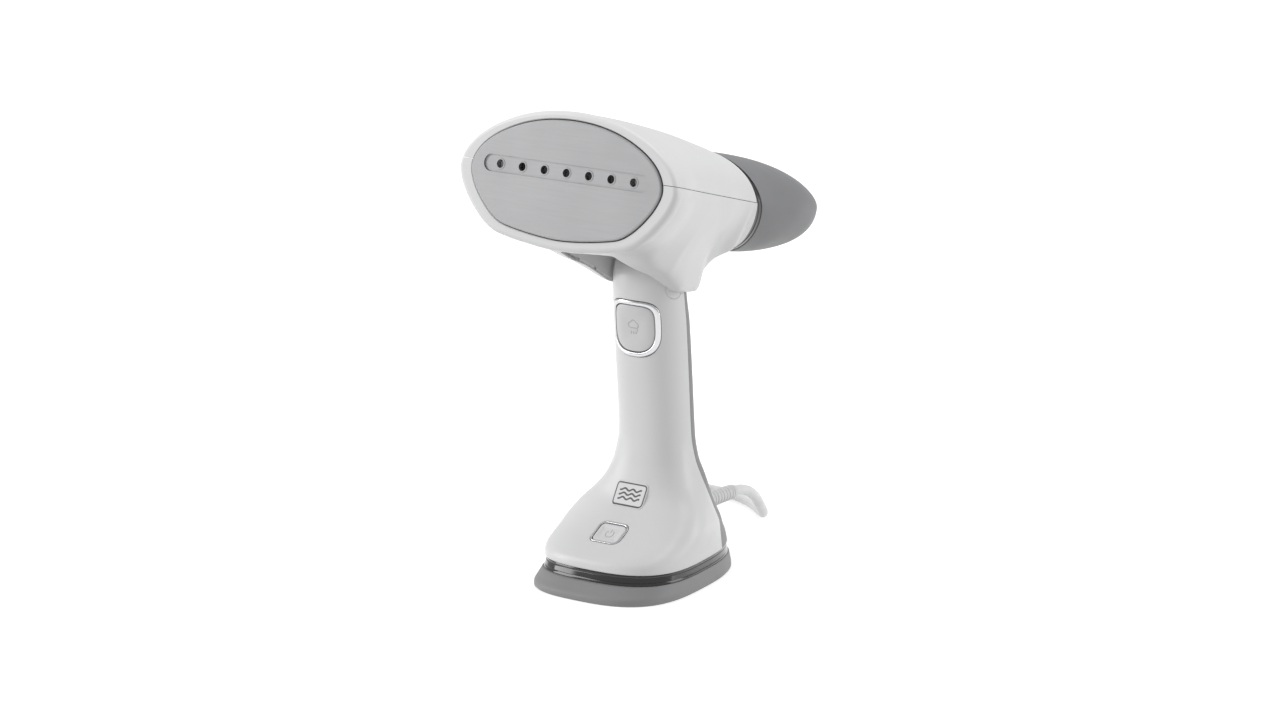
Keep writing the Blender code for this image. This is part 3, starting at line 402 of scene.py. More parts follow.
def soften(piece, width, angle=50.0):
    """Round a piece's sharp edges."""
    bevel = piece.modifiers.new("soften", "BEVEL")
    bevel.width = width * MM
    bevel.segments = 2
    bevel.limit_method = "ANGLE"
    bevel.angle_limit = math.radians(angle)
    bevel.use_clamp_overlap = True
    return apply_modifiers(piece)


def surface_of(piece):
    """Tree of a piece's faces in millimetres, for dropping points onto it."""
    corners = [vertex.co / MM for vertex in piece.data.vertices]
    return BVHTree.FromPolygons(corners, [tuple(face.vertices) for face in piece.data.polygons])


def on_surface(tree, place, x, y, lift):
    """Point over a surface at (x, y) in the axes of place, a hair off the mesh's own lines."""
    outward = (place.to_3x3() @ Vector((0, 0, 1))).normalized()
    hit = tree.ray_cast(place @ Vector((x + 0.0031, y + 0.0023, 40.0)), -outward)[0]
    return hit + outward * lift


def draped(name, tree, place, outline, profile, closed_path=False):
    """Solid whose rings follow a surface: outline(inset) at each (inset, lift) of the profile."""
    rings = [[on_surface(tree, place, x, y, lift) for x, y in outline(inset)] for inset, lift in profile]
    return loft(name, rings, closed_path)


def stroke(name, tree, place, points, width, low, high, closed_path=False):
    """Flat line of a given width that lies on a surface."""
    points = [Vector((x, y)) for x, y in points]
    rings = []
    last = len(points) - 1
    for i, point in enumerate(points):
        before = points[i - 1] if i > 0 or closed_path else point
        after = points[(i + 1) % len(points)] if i < last or closed_path else point
        ahead = (after - before).normalized()
        side = Vector((-ahead.y, ahead.x)) * width / 2
        corners = ((point + side, low), (point + side, high), (point - side, high), (point - side, low))
        rings.append([on_surface(tree, place, spot.x, spot.y, lift) for spot, lift in corners])
    return loft(name, rings, closed_path)


# ---- materials

def shader_of(name):
    made = bpy.data.materials.new(name)
    made.use_nodes = True
    return made, made.node_tree, made.node_tree.nodes["Principled BSDF"]


def put(node, values):
    """Set a node's inputs by name."""
    for name, value in values.items():
        node.inputs[name].default_value = value
    return node


def noise(tree, scale, detail, stretch=(1.0, 1.0, 1.0)):
    """Noise in the object's own axes, stretched along them."""
    place = tree.nodes.new("ShaderNodeTexCoord")
    mapping = put(tree.nodes.new("ShaderNodeMapping"), {"Scale": stretch})
    texture = put(tree.nodes.new("ShaderNodeTexNoise"), {"Scale": scale, "Detail": detail})
    tree.links.new(place.outputs["Object"], mapping.inputs["Vector"])
    tree.links.new(mapping.outputs["Vector"], texture.inputs["Vector"])
    return texture.outputs["Fac"]


def vary_roughness(tree, shader, factor, low, high):
    spread = put(tree.nodes.new("ShaderNodeMapRange"),
                 {"From Min": 0.3, "From Max": 0.7, "To Min": low, "To Max": high})
    tree.links.new(factor, spread.inputs["Value"])
    tree.links.new(spread.outputs["Result"], shader.inputs["Roughness"])


def vary_colour(tree, shader, factor, dark, light):
    ramp = tree.nodes.new("ShaderNodeValToRGB")
    ramp.color_ramp.elements[0].position = 0.3
    ramp.color_ramp.elements[1].position = 0.7
    ramp.color_ramp.elements[0].color = (*dark, 1.0)
    ramp.color_ramp.elements[1].color = (*light, 1.0)
    tree.links.new(factor, ramp.inputs["Fac"])
    tree.links.new(ramp.outputs["Color"], shader.inputs["Base Color"])


def bump(tree, shader, height, strength, distance):
    node = put(tree.nodes.new("ShaderNodeBump"), {"Strength": strength, "Distance": distance})
    tree.links.new(height, node.inputs["Height"])
    tree.links.new(node.outputs["Normal"], shader.inputs["Normal"])


def tint(colour, factor):
    return tuple(min(channel * factor, 1.0) for channel in colour)


def moulded(name, colour, roughness, grain=0.08, spread=0.03, coat=0.0):
    """Injection-moulded plastic: faint shade and gloss variation and a fine skin texture."""
    made, tree, shader = shader_of(name)
    vary_colour(tree, shader, noise(tree, 22.0, 4.0), tint(colour, 1 - spread), tint(colour, 1 + spread))
    vary_roughness(tree, shader, noise(tree, 60.0, 5.0), roughness - 0.04, roughness + 0.05)
    put(shader, {"IOR": 1.46, "Coat Weight": coat, "Coat Roughness": 0.12})
    bump(tree, shader, noise(tree, 1800.0, 2.0), grain, 0.00005)
    return made


def brushed(name, colour, roughness, stretch, grain=0.25, spread=0.1, blotches=0.12):
    """Metal with fine lines along one way and cloudy patches."""
    made, tree, shader = shader_of(name)
    lines = noise(tree, 900.0, 4.0, stretch)
    patches = noise(tree, 34.0, 5.0)
    mix = put(tree.nodes.new("ShaderNodeMix"), {"Factor": 0.55})
    tree.links.new(lines, mix.inputs["A"])
    tree.links.new(patches, mix.inputs["B"])
    vary_colour(tree, shader, mix.outputs["Result"], tint(colour, 1 - spread), tint(colour, 1 + spread))
    vary_roughness(tree, shader, patches, roughness - blotches / 2, roughness + blotches / 2)
    put(shader, {"Metallic": 1.0})
    bump(tree, shader, lines, grain, 0.00003)
    return made


def soft_cover(name, colour, roughness):
    """Flexible sheath or rubber: matt, with a soft sheen and a slightly uneven skin."""
    made, tree, shader = shader_of(name)
    uneven = noise(tree, 140.0, 4.0)
    vary_colour(tree, shader, uneven, tint(colour, 0.95), tint(colour, 1.04))
    vary_roughness(tree, shader, uneven, roughness - 0.05, roughness + 0.05)
    put(shader, {"Sheen Weight": 0.15})
    bump(tree, shader, noise(tree, 900.0, 3.0), 0.12, 0.0001)
    return made


def webbing(name, colour):
    """Woven strap: two crossed sets of threads."""
    made, tree, shader = shader_of(name)
    place = tree.nodes.new("ShaderNodeTexCoord")
    weave = put(tree.nodes.new("ShaderNodeTexChecker"), {
        "Scale": 1600.0, "Color1": (*tint(colour, 0.7), 1.0), "Color2": (*tint(colour, 1.4), 1.0)})
    tree.links.new(place.outputs["Object"], weave.inputs["Vector"])
    tree.links.new(weave.outputs["Color"], shader.inputs["Base Color"])
    put(shader, {"Roughness": 0.85})
    bump(tree, shader, weave.outputs["Fac"], 0.4, 0.0002)
    return made


LOOKS = {
    "white_plastic": moulded("white_moulded", (0.69, 0.69, 0.695), 0.34, spread=0.012),
    "cap_plastic": moulded("cap_moulded", (0.62, 0.62, 0.625), 0.4, spread=0.015),
    "grey_plastic": moulded("grey_moulded", (0.25, 0.25, 0.255), 0.5, grain=0.2, spread=0.04),
    "tank_plastic": moulded("tank_moulded", (0.2, 0.202, 0.208), 0.48, spread=0.05),
    "smoked_plastic": moulded("smoked_clear", (0.008, 0.008, 0.009), 0.12, grain=0.02, spread=0.3, coat=0.6),
    "black_plastic": moulded("black_moulded", (0.025, 0.025, 0.026), 0.5, grain=0.2),
    "mark": moulded("printed_mark", (0.09, 0.09, 0.095), 0.45, grain=0.05),
    "faint_mark": moulded("faint_mark", (0.42, 0.42, 0.43), 0.45, grain=0.05),
    "board": moulded("board_lacquer", (0.03, 0.13, 0.06), 0.35, spread=0.1),
    "brushed_steel": brushed("plate_metal", (0.33, 0.33, 0.335), 0.58, (0.05, 1.0, 1.0), 0.15, 0.05, 0.08),
    "chrome": brushed("chrome_plating", (0.6, 0.6, 0.61), 0.16, (1.0, 1.0, 1.0), 0.02, 0.02, 0.04),
    "aluminium": brushed("cast_aluminium", (0.5, 0.5, 0.51), 0.5, (1.0, 1.0, 1.0), 0.5, 0.1),
    "steel": brushed("plain_steel", (0.42, 0.42, 0.43), 0.32, (1.0, 0.2, 1.0), 0.2, 0.08),
    "brass": brushed("plain_brass", (0.62, 0.43, 0.17), 0.25, (0.2, 1.0, 1.0), 0.12, 0.06),
    "rubber": soft_cover("black_rubber", (0.02, 0.02, 0.02), 0.75),
    "silicone": soft_cover("clear_silicone", (0.5, 0.5, 0.5), 0.45),
    "cord_white": soft_cover("cord_sheath", (0.8, 0.8, 0.805), 0.42),
    "strap": webbing("strap_weave", (0.03, 0.03, 0.032)),
}


def dress(item, look, body, *nodes, slot=None, angle=32.0):
    """Give a piece its material and body, and hide the CAD nodes that it replaces; the slot, named like the
    look unless given, is not used.
    """
    slot = slot or look
    item.data.materials.clear()
    item.data.materials.append(LOOKS[look])
    if item.type == "MESH":
        item.data.shade_smooth()
        item.data.set_sharp_from_angle(angle=math.radians(angle))
        item.modifiers.new("even_shading", "WEIGHTED_NORMAL").keep_sharp = True
    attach(item, body)
    if nodes:
        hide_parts(*nodes)
    return item


def dress_cad_nodes():
    """Every CAD node that stays in view gets a full material for its slot."""
    slots = {row["node"]: row["material_slot"] for row in frame["record"]["subparts"]}
    for node, item in frame["nodes"].items():
        item.data.materials.clear()
        item.data.materials.append(LOOKS[slots[node]])


# ---- camera, light and floor

def aim(item, target):
    item.rotation_euler = (Vector(target) - item.location).to_track_quat("-Z", "Y").to_euler()


def camera():
    item = bpy.data.objects.new("camera", bpy.data.cameras.new("camera"))
    bpy.context.scene.collection.objects.link(item)
    flat = math.cos(CAMERA_ELEVATION)
    back = Vector((math.sin(CAMERA_AZIMUTH) * flat, -math.cos(CAMERA_AZIMUTH) * flat,
                   math.sin(CAMERA_ELEVATION)))
    item.location = Vector(CAMERA_TARGET) + back * CAMERA_DISTANCE
    item.data.sensor_width = 36.0
    item.data.lens = CAMERA_LENS
    aim(item, CAMERA_TARGET)
    bpy.context.scene.camera = item


def softbox(name, location, size, energy):
    light = bpy.data.lights.new(name, "AREA")
    light.shape = "RECTANGLE"
    light.size, light.size_y = size
    light.energy = energy
    item = bpy.data.objects.new(name, light)
    bpy.context.scene.collection.objects.link(item)
    item.location = location
    aim(item, LIGHT_TARGET)


def studio():
    """Plain pale floor, an even pale surround, and soft lights."""
    scene = bpy.context.scene
    scene.view_settings.view_transform = "Standard"
    world = bpy.data.worlds.new("studio")
    scene.world = world
    world.use_nodes = True
    put(world.node_tree.nodes["Background"], {"Color": (1.0, 1.0, 1.0, 1.0), "Strength": 0.66})
    softbox("top", (0.0, 0.3, 2.3), (1.4, 1.4), 17)
    softbox("left", (-1.7, -1.1, 0.7), (1.0, 1.8), 24)
    softbox("right", (1.6, 1.3, 0.7), (0.9, 1.8), 12)
    floor = block("floor", (-FLOOR_HALF, -FLOOR_HALF, -20.0), (FLOOR_HALF, FLOOR_HALF, 0.0))
    made, tree, shader = shader_of("floor_paper")
    vary_colour(tree, shader, noise(tree, 3.0, 2.0), (0.82, 0.82, 0.82), (0.84, 0.84, 0.84))
    put(shader, {"Roughness": 0.9, "Emission Color": (1.0, 1.0, 1.0, 1.0), "Emission Strength": 0.42})
    floor.data.materials.append(made)
    floor.visible_diffuse = False


# ---- cord

def hank_frame():
    return Matrix.Translation((*HANK_CENTRE, 0)) @ Matrix.Rotation(HANK_ANGLE, 4, "Z")


def round_hank(distance, radius):
    """Place on the hank's loop, from where the lead joins it, at a radius from its two centres."""
    mean = HANK_TURN_WIDTH / 2
    half = HANK_RUN / 2
    first = mean * (math.pi / 2 - HANK_START)
    arc = math.pi * mean
    if distance < first:
        angle = HANK_START + distance / mean
        return half + radius * math.cos(angle), radius * math.sin(angle)
    distance -= first
    if distance < HANK_RUN:
        return half - distance, radius
    distance -= HANK_RUN
    if distance < arc:
        angle = math.pi / 2 + distance / mean
        return radius * math.cos(angle) - half, radius * math.sin(angle)
    distance -= arc
    if distance < HANK_RUN:
        return distance - half, -radius
    angle = (distance - HANK_RUN) / mean - math.pi / 2
    return half + radius * math.cos(angle), radius * math.sin(angle)


def hank_points():
    """Centre line of the wound cord: two turns side by side in each of three layers, one moving at a time."""
    inner = HANK_TURN_WIDTH / 2 - CORD_DIAMETER / 2
    outer = inner + CORD_DIAMETER
    low = HANK_LIFT + CORD_DIAMETER / 2
    levels = [low + layer * CORD_DIAMETER for layer in range(HANK_LAYERS)]
    lanes = [(outer, levels[0]), (inner, levels[0]), (inner, levels[1]), (outer, levels[1]),
             (outer, levels[2]), (inner, levels[2])]
    around = 2 * HANK_RUN + math.pi * HANK_TURN_WIDTH
    points = []
    for turn in range(HANK_TURNS):
        begin = 0.18 + 0.16 * (HANK_TURNS - 1 - turn)
        for step in range(STEPS_PER_TURN):
            share = step / STEPS_PER_TURN
            moved = ease(begin, begin + 0.16, share)
            radius = lanes[turn][0] + (lanes[turn + 1][0] - lanes[turn][0]) * moved
            level = lanes[turn][1] + (lanes[turn + 1][1] - lanes[turn][1]) * moved
            points.append(Vector((*round_hank(share * around, radius), level)))
    rise = HANK_TURN_WIDTH / 2 * (math.pi / 2 - HANK_START)
    for step in range(12):
        moved = ease(0.0, 1.0, step / 12)
        radius = inner + (TAIL_ROUTE[0][1] - inner) * moved
        level = levels[2] + (TAIL_ROUTE[0][2] - levels[2]) * moved
        points.append(Vector((*round_hank(rise * step / 12, radius), level)))
    return points


def cord():
    """The whole cord on one line: lead, hank and tail."""
    place = hank_frame()
    route = through(CORD_ROUTE, 60) + [place @ point for point in hank_points()]
    route += [place @ point for point in through(TAIL_ROUTE, 22)]
    line = bpy.data.curves.new("mains_cord", "CURVE")
    line.dimensions = "3D"
    line.bevel_depth = CORD_DIAMETER / 2 * MM
    line.bevel_resolution = 5
    line.use_fill_caps = True
    spline = line.splines.new("POLY")
    spline.points.add(len(route) - 1)
    for knot, point in zip(spline.points, route):
        knot.co = (*(point * MM), 1.0)
    item = dress(new_piece("mains_cord", line), "cord_white", "handle_assembly", "cord_run", "cord_hank",
                 "cord_tail")
    length = sum((after - before).length for before, after in zip(route, route[1:]))
    return item, length * MM


def plug():
    """Moulded plug with a ribbed neck, two flat blades and a round pin."""
    place = hank_frame() @ Matrix.Translation((-8.4, 0.8, 29.2))
    rings = []
    sections = ((0, 3.6, 3.6), (0.5, 4.4, 4.4), (11.4, 5.1, 5.1), (13.4, 5.8, 5.5), (16, 9.0, 7.6),
                (19, 10.4, 8.1), (26, 12.0, 8.8), (33, 12.6, 9.1), (35.2, 12.5, 9.2), (36, 11.8, 8.6))
    for x in spaced(-36, 0, 0.4):
        half_y, half_z = smooth_column(sections, 1, -x), smooth_column(sections, 2, -x)
        if -10.8 < x < -1.6:
            rib = 0.45 * (0.5 + 0.5 * math.cos(math.tau * x / 2.3))
            half_y, half_z = half_y - rib, half_z - rib
        roundness = 2.0 + 2.0 * ease(12.0, 20.0, -x)
        rings.append([(x, a, b) for a, b in oval(half_y, half_z, half_z, roundness, roundness, 64)])
    body = move(loft("plug_shell", rings), place)
    dress(body, "cord_white", "handle_assembly", "plug_body")
    pieces = [body]
    for side, name in ((1, "right"), (-1, "left")):
        low, high = (-53, side * 6.35 - 0.75, -1.0), (-36.0, side * 6.35 + 0.75, 5.4)
        blade = soften(block(f"blade_{name}", low, high), 0.3)
        cut(blade, rod("hole", 1.5, -30, 30, "y", 24, (-49.5, 2.2)))
        pieces.append(dress(move(blade, place), "brass", "handle_assembly", f"plug_blade_{name}"))
    profile = [(1.2, -56.0), (1.9, -55.6), (2.4, -54.6), (2.4, -36.0)]
    pin = turned("earth_pin", profile, "x", 32, (0, -5.2))
    pieces.append(dress(move(pin, place), "brass", "handle_assembly", "plug_earth_pin"))
    return pieces


def cord_strap():
    """Woven strap round the hank, one end lapped over the other."""
    radius = HANK_TURN_WIDTH / 2 + CORD_DIAMETER
    half, across = TIE_WIDTH / 2, radius + GAP + TIE_THICKNESS
    top = HANK_LIFT + HANK_LAYERS * CORD_DIAMETER + GAP + TIE_THICKNESS
    middle = top / 2
    outer = rounded_box(across, middle, 5.0)
    inner = rounded_box(across - TIE_THICKNESS, middle - TIE_THICKNESS, 4.4)
    rings = [[(TIE_ALONG + x, a, middle + b) for a, b in outline]
             for x, outline in ((-half, inner), (-half, outer), (half, outer), (half, inner))]
    strap = loft("cord_strap", rings, closed_path=True)
    lap = soften(block("lap", (TIE_ALONG - half, -16, top - 0.1), (TIE_ALONG + half, 12, top + 0.5)), 0.15)
    join(strap, lap)
    return dress(move(strap, hank_frame()), "strap", "handle_assembly", "cord_tie", slot="black_plastic")


def strain_relief():
    """Tapered sleeve with ring grooves."""
    rings = []
    for y in spaced(47.2, 91.2, 0.4):
        radius = smooth_value(((47.2, 6.1), (53.4, 6.0), (60, 5.6), (75, 4.8), (90.4, 4.1), (91.2, 3.7)), y)
        if 58.0 < y < 88.0:
            radius -= 0.55 * ease(0.35, 0.8, 0.5 + 0.5 * math.cos(math.tau * (y - 58.0) / 3.0))
        rings.append([(a, y, CORD_EXIT[2] + b) for a, b in circle(radius, 48)])
    relief = loft("cord_sleeve", rings)
    dress(relief, "white_plastic", "handle_assembly", "strain_relief")


# ---- head

HEAD_FRAME = Matrix.Translation(PLATE_CENTRE) @ Matrix.Rotation(-HEAD_TILT, 4, "X")


def plate_reach():
    """How far the plate's edge reaches from the middle line, by angle, for a unit half width and height."""
    reach = []
    for x, t in PLATE_EDGE:
        span = PLATE_EDGE[0][1] - SEAM_FRONT if t > SEAM_FRONT else SEAM_FRONT - PLATE_EDGE[-1][1]
        height = (t - SEAM_FRONT) / span
        along = x / PLATE_HALF_WIDTH
        reach.append((math.degrees(math.atan2(height, along)), math.hypot(along, height)))
    return reach[::-1]


PLATE_REACH = plate_reach()


def head_ring(s, inset, count=160, count_below=240):
    """One outline of the head at s: the plate's shape in front, an oval behind, the collar below."""
    middle = SEAM_FRONT + SEAM_SLOPE * s
    half_width = smooth_value(HEAD_HALF_WIDTH, s) - inset
    up = smooth_value(HEAD_TOP, s) - middle - inset
    down = middle - smooth_value(HEAD_BOTTOM, s) - inset
    share = min(s / 150, 1.0)
    power_down = 2.2 - 0.6 * ease(50, 145, s)
    front = 1 - ease(4, 60, s)
    collar_half = smooth_value(COLLAR_HALF_WIDTH, s) - inset
    collar_depth = middle - smooth_value(COLLAR_EDGE, s) - inset
    present = ease(COLLAR_FADE[0], COLLAR_FADE[1], s) * (1 - ease(COLLAR_FADE[2], COLLAR_FADE[3], s))
    ring = []
    for x, y in oval(half_width, up, down, 1.85 + 0.25 * share, power_down, count, count_below):
        along, height = abs(x) / half_width, y / (up if y > 0 else down)
        plate = smooth_value(PLATE_REACH, math.degrees(math.atan2(height, along))) / math.hypot(along, height)
        fuller = 1 + (plate - 1) * front
        x, y = x * fuller, y * fuller
        if y < 0 and present > 0:
            reach = math.hypot(x, y)
            along, across = abs(x) / reach, abs(y) / reach
            collar = ((along / collar_half) ** 10 + (across / collar_depth) ** 10) ** -0.1
            blend = max(COLLAR_BLEND - abs(reach - collar), 0) / COLLAR_BLEND
            wider = max(reach, collar) + blend * blend * COLLAR_BLEND / 4
            wider = reach + (wider - reach) * present
            x, y = x * wider / reach, y * wider / reach
        ring.append((x, s, middle + y))
    return ring


def plate_outline(inset):
    """Edge of the plate: gently arched above, and flatter with two soft corners below."""
    knots = [(x, t, 0) for x, t in PLATE_EDGE] + [(-x, t, 0) for x, t in reversed(PLATE_EDGE[1:-1])]
    narrow, low = 1 - inset / PLATE_HALF_WIDTH, 1 - inset / PLATE_HALF_HEIGHT
    return [(point.x * narrow, point.y * low) for point in through(knots, 200, closed=True)]


def rim_rings():
    """Round front edge of the head."""
    rings = []
    for step in range(9):
        angle = math.pi / 2 * step / 8
        s = RIM_RADIUS * (1 - math.cos(angle))
        rings.append(head_ring(s, RIM_RADIUS * (1 - math.sin(angle))))
    return rings


def head_solid():
    rings = rim_rings()
    for s in spaced(4.0, 172.0, 1.6):
        rings.append(head_ring(s, 0.35 * ease(5.6, 7.4, s) * (1 - ease(7.4, 26.0, s))))
    return loft("head_outer", rings)


def joint_shift(height, lean):
    """How far back the joint lies at a height above its middle; its upper half bows forward."""
    return -math.tan(lean) * (height + JOINT_BOW * max(height, 0) ** 2)


def joint_block(name, low, high):
    """Block between two distances behind the joint, larger than the head."""
    heights = [-80.0] + spaced(0, 60, 2.0)
    outline = [(JOINT_S + low + joint_shift(t, JOINT_LEAN), JOINT_T + t) for t in heights]
    outline += [(JOINT_S + high + joint_shift(t, JOINT_LEAN), JOINT_T + t) for t in reversed(heights)]
    return prism(name, outline, -80, 80, "x")


def seam_block(name, side):
    middle = SEAM_FRONT + side * GAP / 2
    outline = [(-5, middle - SEAM_SLOPE * 5), (180, middle + SEAM_SLOPE * 180), (180, side * 120),
               (-5, side * 120)]
    return prism(name, outline, -90, 90, "x")


def opening_half(step, grow=0.0):
    """Right half of the opening in the underside, as (half width, y)."""
    return [(smooth_value(SLOT_OUTLINE, y) + grow, y)
            for y in spaced(SLOT_OUTLINE[0][0], SLOT_OUTLINE[-1][0], step)]


def hinge_slot():
    half = opening_half(1.0)
    outline = half + [(-width, y) for width, y in reversed(half)]
    return move(prism("hinge_slot", outline, 140, 203), HEAD_FRAME.inverted())


def pocket_wall():
    """Wall round the opening in the underside, inside the lower cover."""
    half = opening_half(2.0, POCKET_WALL)
    tip = (0.0, SLOT_OUTLINE[0][0] - POCKET_WALL)
    outline = [tip] + half + [(-width, y) for width, y in reversed(half)]
    wall = move(prism("pocket_wall", outline, 140, 206), HEAD_FRAME.inverted())
    keep_inside(wall, loft("core", [head_ring(s, 0.8, 96, 144) for s in spaced(3.2, 150.0, 3.2)]))
    keep_inside(wall, seam_block("below_seam", -1))
    return cut(wall, hinge_slot())


def head_covers():
    outer = head_solid()
    inner = loft("head_inner", [head_ring(s, HEAD_WALL, 96, 144) for s in spaced(3.2, 176.0, 3.2)])
    opening = loft("opening", [[(x, s, t) for x, t in plate_outline(inset)]
                               for s, inset in ((-2, -1.0), (0.1, -1.0), (0.55, -0.5), (6, -0.5))])
    shell = cut(outer, inner, opening, joint_block("behind_joint", 0, 60), hinge_slot())
    upper = copy_of(shell, "head_upper_cover")
    shell.name = "head_lower_cover"
    keep_inside(upper, seam_block("above_seam", 1))
    keep_inside(shell, seam_block("below_seam", -1))
    join(shell, pocket_wall())
    for cover, node in ((upper, "head_upper_shell"), (shell, "head_lower_shell")):
        dress(move(cover, HEAD_FRAME), "white_plastic", "head_assembly", node)


def steam_plate():
    """Metal plate with a round edge, one long recess and a row of steam holes with raised rims."""
    profile = [(-PLATE_PROUD, 0.9), (-PLATE_PROUD + 0.12, 0.5), (-PLATE_PROUD + 0.42, 0.14),
               (-PLATE_PROUD + 0.9, 0.0), (PLATE_BACK, 0.0)]
    plate = loft("steam_face", [[(x, s, t) for x, t in plate_outline(inset)] for s, inset in profile])
    recess = []
    for side in (1, -1):
        for step in range(25):
            angle = side * math.pi / 2 - math.pi * step / 24
            centre = side * (STEAM_SLOT_HALF - STEAM_SLOT_RADIUS)
            recess.append((centre + side * abs(STEAM_SLOT_RADIUS * math.cos(angle)),
                           STEAM_ROW_T + STEAM_SLOT_RADIUS * math.sin(angle)))
    cut(plate, prism("recess", recess, -5, -PLATE_PROUD + STEAM_SLOT_DEPTH, "y"))
    floor_s = -PLATE_PROUD + STEAM_SLOT_DEPTH
    places = [((i - (STEAM_HOLES - 1) / 2) * STEAM_HOLE_PITCH, STEAM_ROW_T) for i in range(STEAM_HOLES)]
    lips = [turned("lip", [(3.3, floor_s + 0.2), (3.25, floor_s - 0.12), (3.0, floor_s - 0.22),
                           (2.0, floor_s - 0.22), (2.0, floor_s + 0.2)], "y", 40, place) for place in places]
    join(plate, *lips)
    cut(plate, *[rod("hole", STEAM_HOLE_RADIUS, -6, 8, "y", 40, place) for place in places])
    soften(plate, 0.14, 40.0)
    dress(move(plate, HEAD_FRAME), "brushed_steel", "head_assembly", "steam_plate", angle=12.0)


def leaning_ring(s, half_width, up, down, lean, power_down=1.6, count=160):
    return [(x, s + joint_shift(y, lean), JOINT_T + y)
            for x, y in oval(half_width, up, down, 2.1, power_down, count)]


def joint_ring(behind, inset, count=160):
    return leaning_ring(JOINT_S + behind, TANK_HALF_WIDTH - inset, TANK_UP - inset, TANK_DOWN - inset,
                        JOINT_LEAN, count=count)


def tank_ring(share, inset, count=160):
    """Outline of the tank at a share of its length; the sections stand upright towards the nose."""
    width = TANK_HALF_WIDTH * (1 - share ** 2.43) ** (1 / 2.61) - inset
    up = TANK_UP * (1 - share ** 2.49) ** (1 / 1.44) - inset
    down = TANK_DOWN * (1 - share ** 1.85) ** (1 / 3.03) - inset
    start = JOINT_S + TANK_RING + GAP
    return leaning_ring(start + share * TANK_LENGTH, max(width, 0.3), max(up, 0.3), max(down, 0.3),
                        JOINT_LEAN * (1 - share) ** 1.5, 1.6 + 0.5 * share, count)


def tank_shares(steps, end=1.0):
    return [end * math.sin(math.pi / 2 * 0.992 * i / steps) for i in range(steps + 1)]


def lid_outline(grow):
    """Round lid with an arm that reaches back to its hinge."""
    radius, arm = LID_RADIUS + grow, 4.0 + grow
    start = math.asin(arm / radius)
    outline = []
    for step in range(48):
        angle = start - math.pi + (math.tau - 2 * start) * step / 47
        outline.append((radius * math.sin(angle), FILL_S - radius * math.cos(angle)))
    return outline + [(arm, LID_HINGE_S + grow), (-arm, LID_HINGE_S + grow)]


def tank_body(name, inset, first, shares, count):
    """Solid of the tank at an inset, from a distance behind the joint to the last of the shares."""
    start = joint_ring(TANK_RING - 4, inset, count)
    body = loft(name, [start] + [tank_ring(share, inset, count) for share in shares])
    return cut(body, joint_block("before_tank", -60, first))


def water_tank():
    tank = tank_body("tank_shell", 0.0, TANK_RING + GAP, tank_shares(60), 160)
    hollow = tank_body("hollow", TANK_WALL, TANK_RING + GAP + 2, tank_shares(24, 0.985), 64)
    mouth = rod("mouth", FILL_RADIUS, FILL_T - 9, FILL_T + 12, "z", 48, (0, FILL_S))
    port = rod("port", PORT_RADIUS, 137, 162, "y", 40, (0, PORT_T))
    cut(hollow, prism("floor", lid_outline(1.9), FILL_T - 9, FILL_T + 2, "z"))
    cut(tank, hollow, mouth, port, prism("pocket", lid_outline(GAP), FILL_T - 9, FILL_T, "z"))
    dress(move(tank, HEAD_FRAME), "tank_plastic", "tank_assembly", "water_tank")


def fill_lid():
    lid = loft("tank_lid", [tank_ring(share, 0.0) for share in tank_shares(60)])
    keep_inside(lid, prism("outline", lid_outline(0.0), FILL_T - 9, FILL_T - GAP, "z"))
    dress(move(lid, HEAD_FRAME), "tank_plastic", "lid_assembly", "fill_lid")


def joint_collar():
    """Smoked ring between head and tank, with a groove round it."""
    profile = ((0.3, 4.2), (0.3, 0.9), (0.6, 0.6), (1.9, 0.55), (2.2, 0.95), (2.6, 0.95), (2.9, 0.55),
               (4.7, 0.5), (5.0, 0.8), (5.0, 4.2))
    ring = loft("joint_collar", [joint_ring(behind, inset) for behind, inset in profile], closed_path=True)
    dress(move(ring, HEAD_FRAME), "smoked_plastic", "tank_assembly", "tank_ring")


# ---- handle

def handle_ring(z, inset, count=144):
    """One outline of the handle: a narrow oval that spreads into the skirt and rounds off at the hinge."""
    front, rear, half_width = (smooth_column(HANDLE_PROFILE, column, z) for column in (1, 2, 3))
    depth = (rear - front) / 2 - inset
    if z > HINGE_Z:
        share = min((z - HINGE_Z) / (KNUCKLE_HEIGHT - inset), 0.9995)
        depth = (KNUCKLE_DEPTH - inset) * (1 - share ** 2.5) ** 0.4
    middle = (front + rear) / 2
    taper = smooth_value(BASE_TAPER, z)
    roundness = smooth_value(BASE_POWER, z)
    return [(x * (1 - taper * y / depth), middle + y, z)
            for x, y in oval(half_width - inset, depth, depth, roundness, roundness, count)]


def handle_solid(name, inset, low=SKIRT_BOTTOM, count=144, step=1.6):
    rings = []
    if inset == 0:
        edge = ((0.0, 0.7), (0.2, 0.25), (0.7, 0.0))
        rings = [handle_ring(low + rise, narrow, count) for rise, narrow in edge]
        low += 1.4
    rings += [handle_ring(z, inset, count) for z in spaced(low, HINGE_Z, step)]
    for i in range(1, 15):
        rise = (KNUCKLE_HEIGHT - inset) * math.sin(math.pi / 2 * 0.995 * i / 14)
        rings.append(handle_ring(HINGE_Z + rise, inset, count))
    return loft(name, rings)


STEAM_PLACE = Matrix.Translation((0, 0, STEAM_BUTTON_Z)) @ Matrix.Rotation(math.pi / 2, 4, "X")
POWER_PLACE = Matrix.Translation(POWER_BUTTON_POINT) @ Matrix.Rotation(POWER_BUTTON_LEAN, 4, "X")
BADGE_PLACE = Matrix.Translation((0, 0, BADGE_Z)) @ Matrix.Rotation(math.pi / 2, 4, "X")


def steam_outline(inset):
    return oval(BUTTON_HALF_WIDTH - inset, BUTTON_UP - inset, BUTTON_DOWN - inset, 4.6, 2.7, 120)


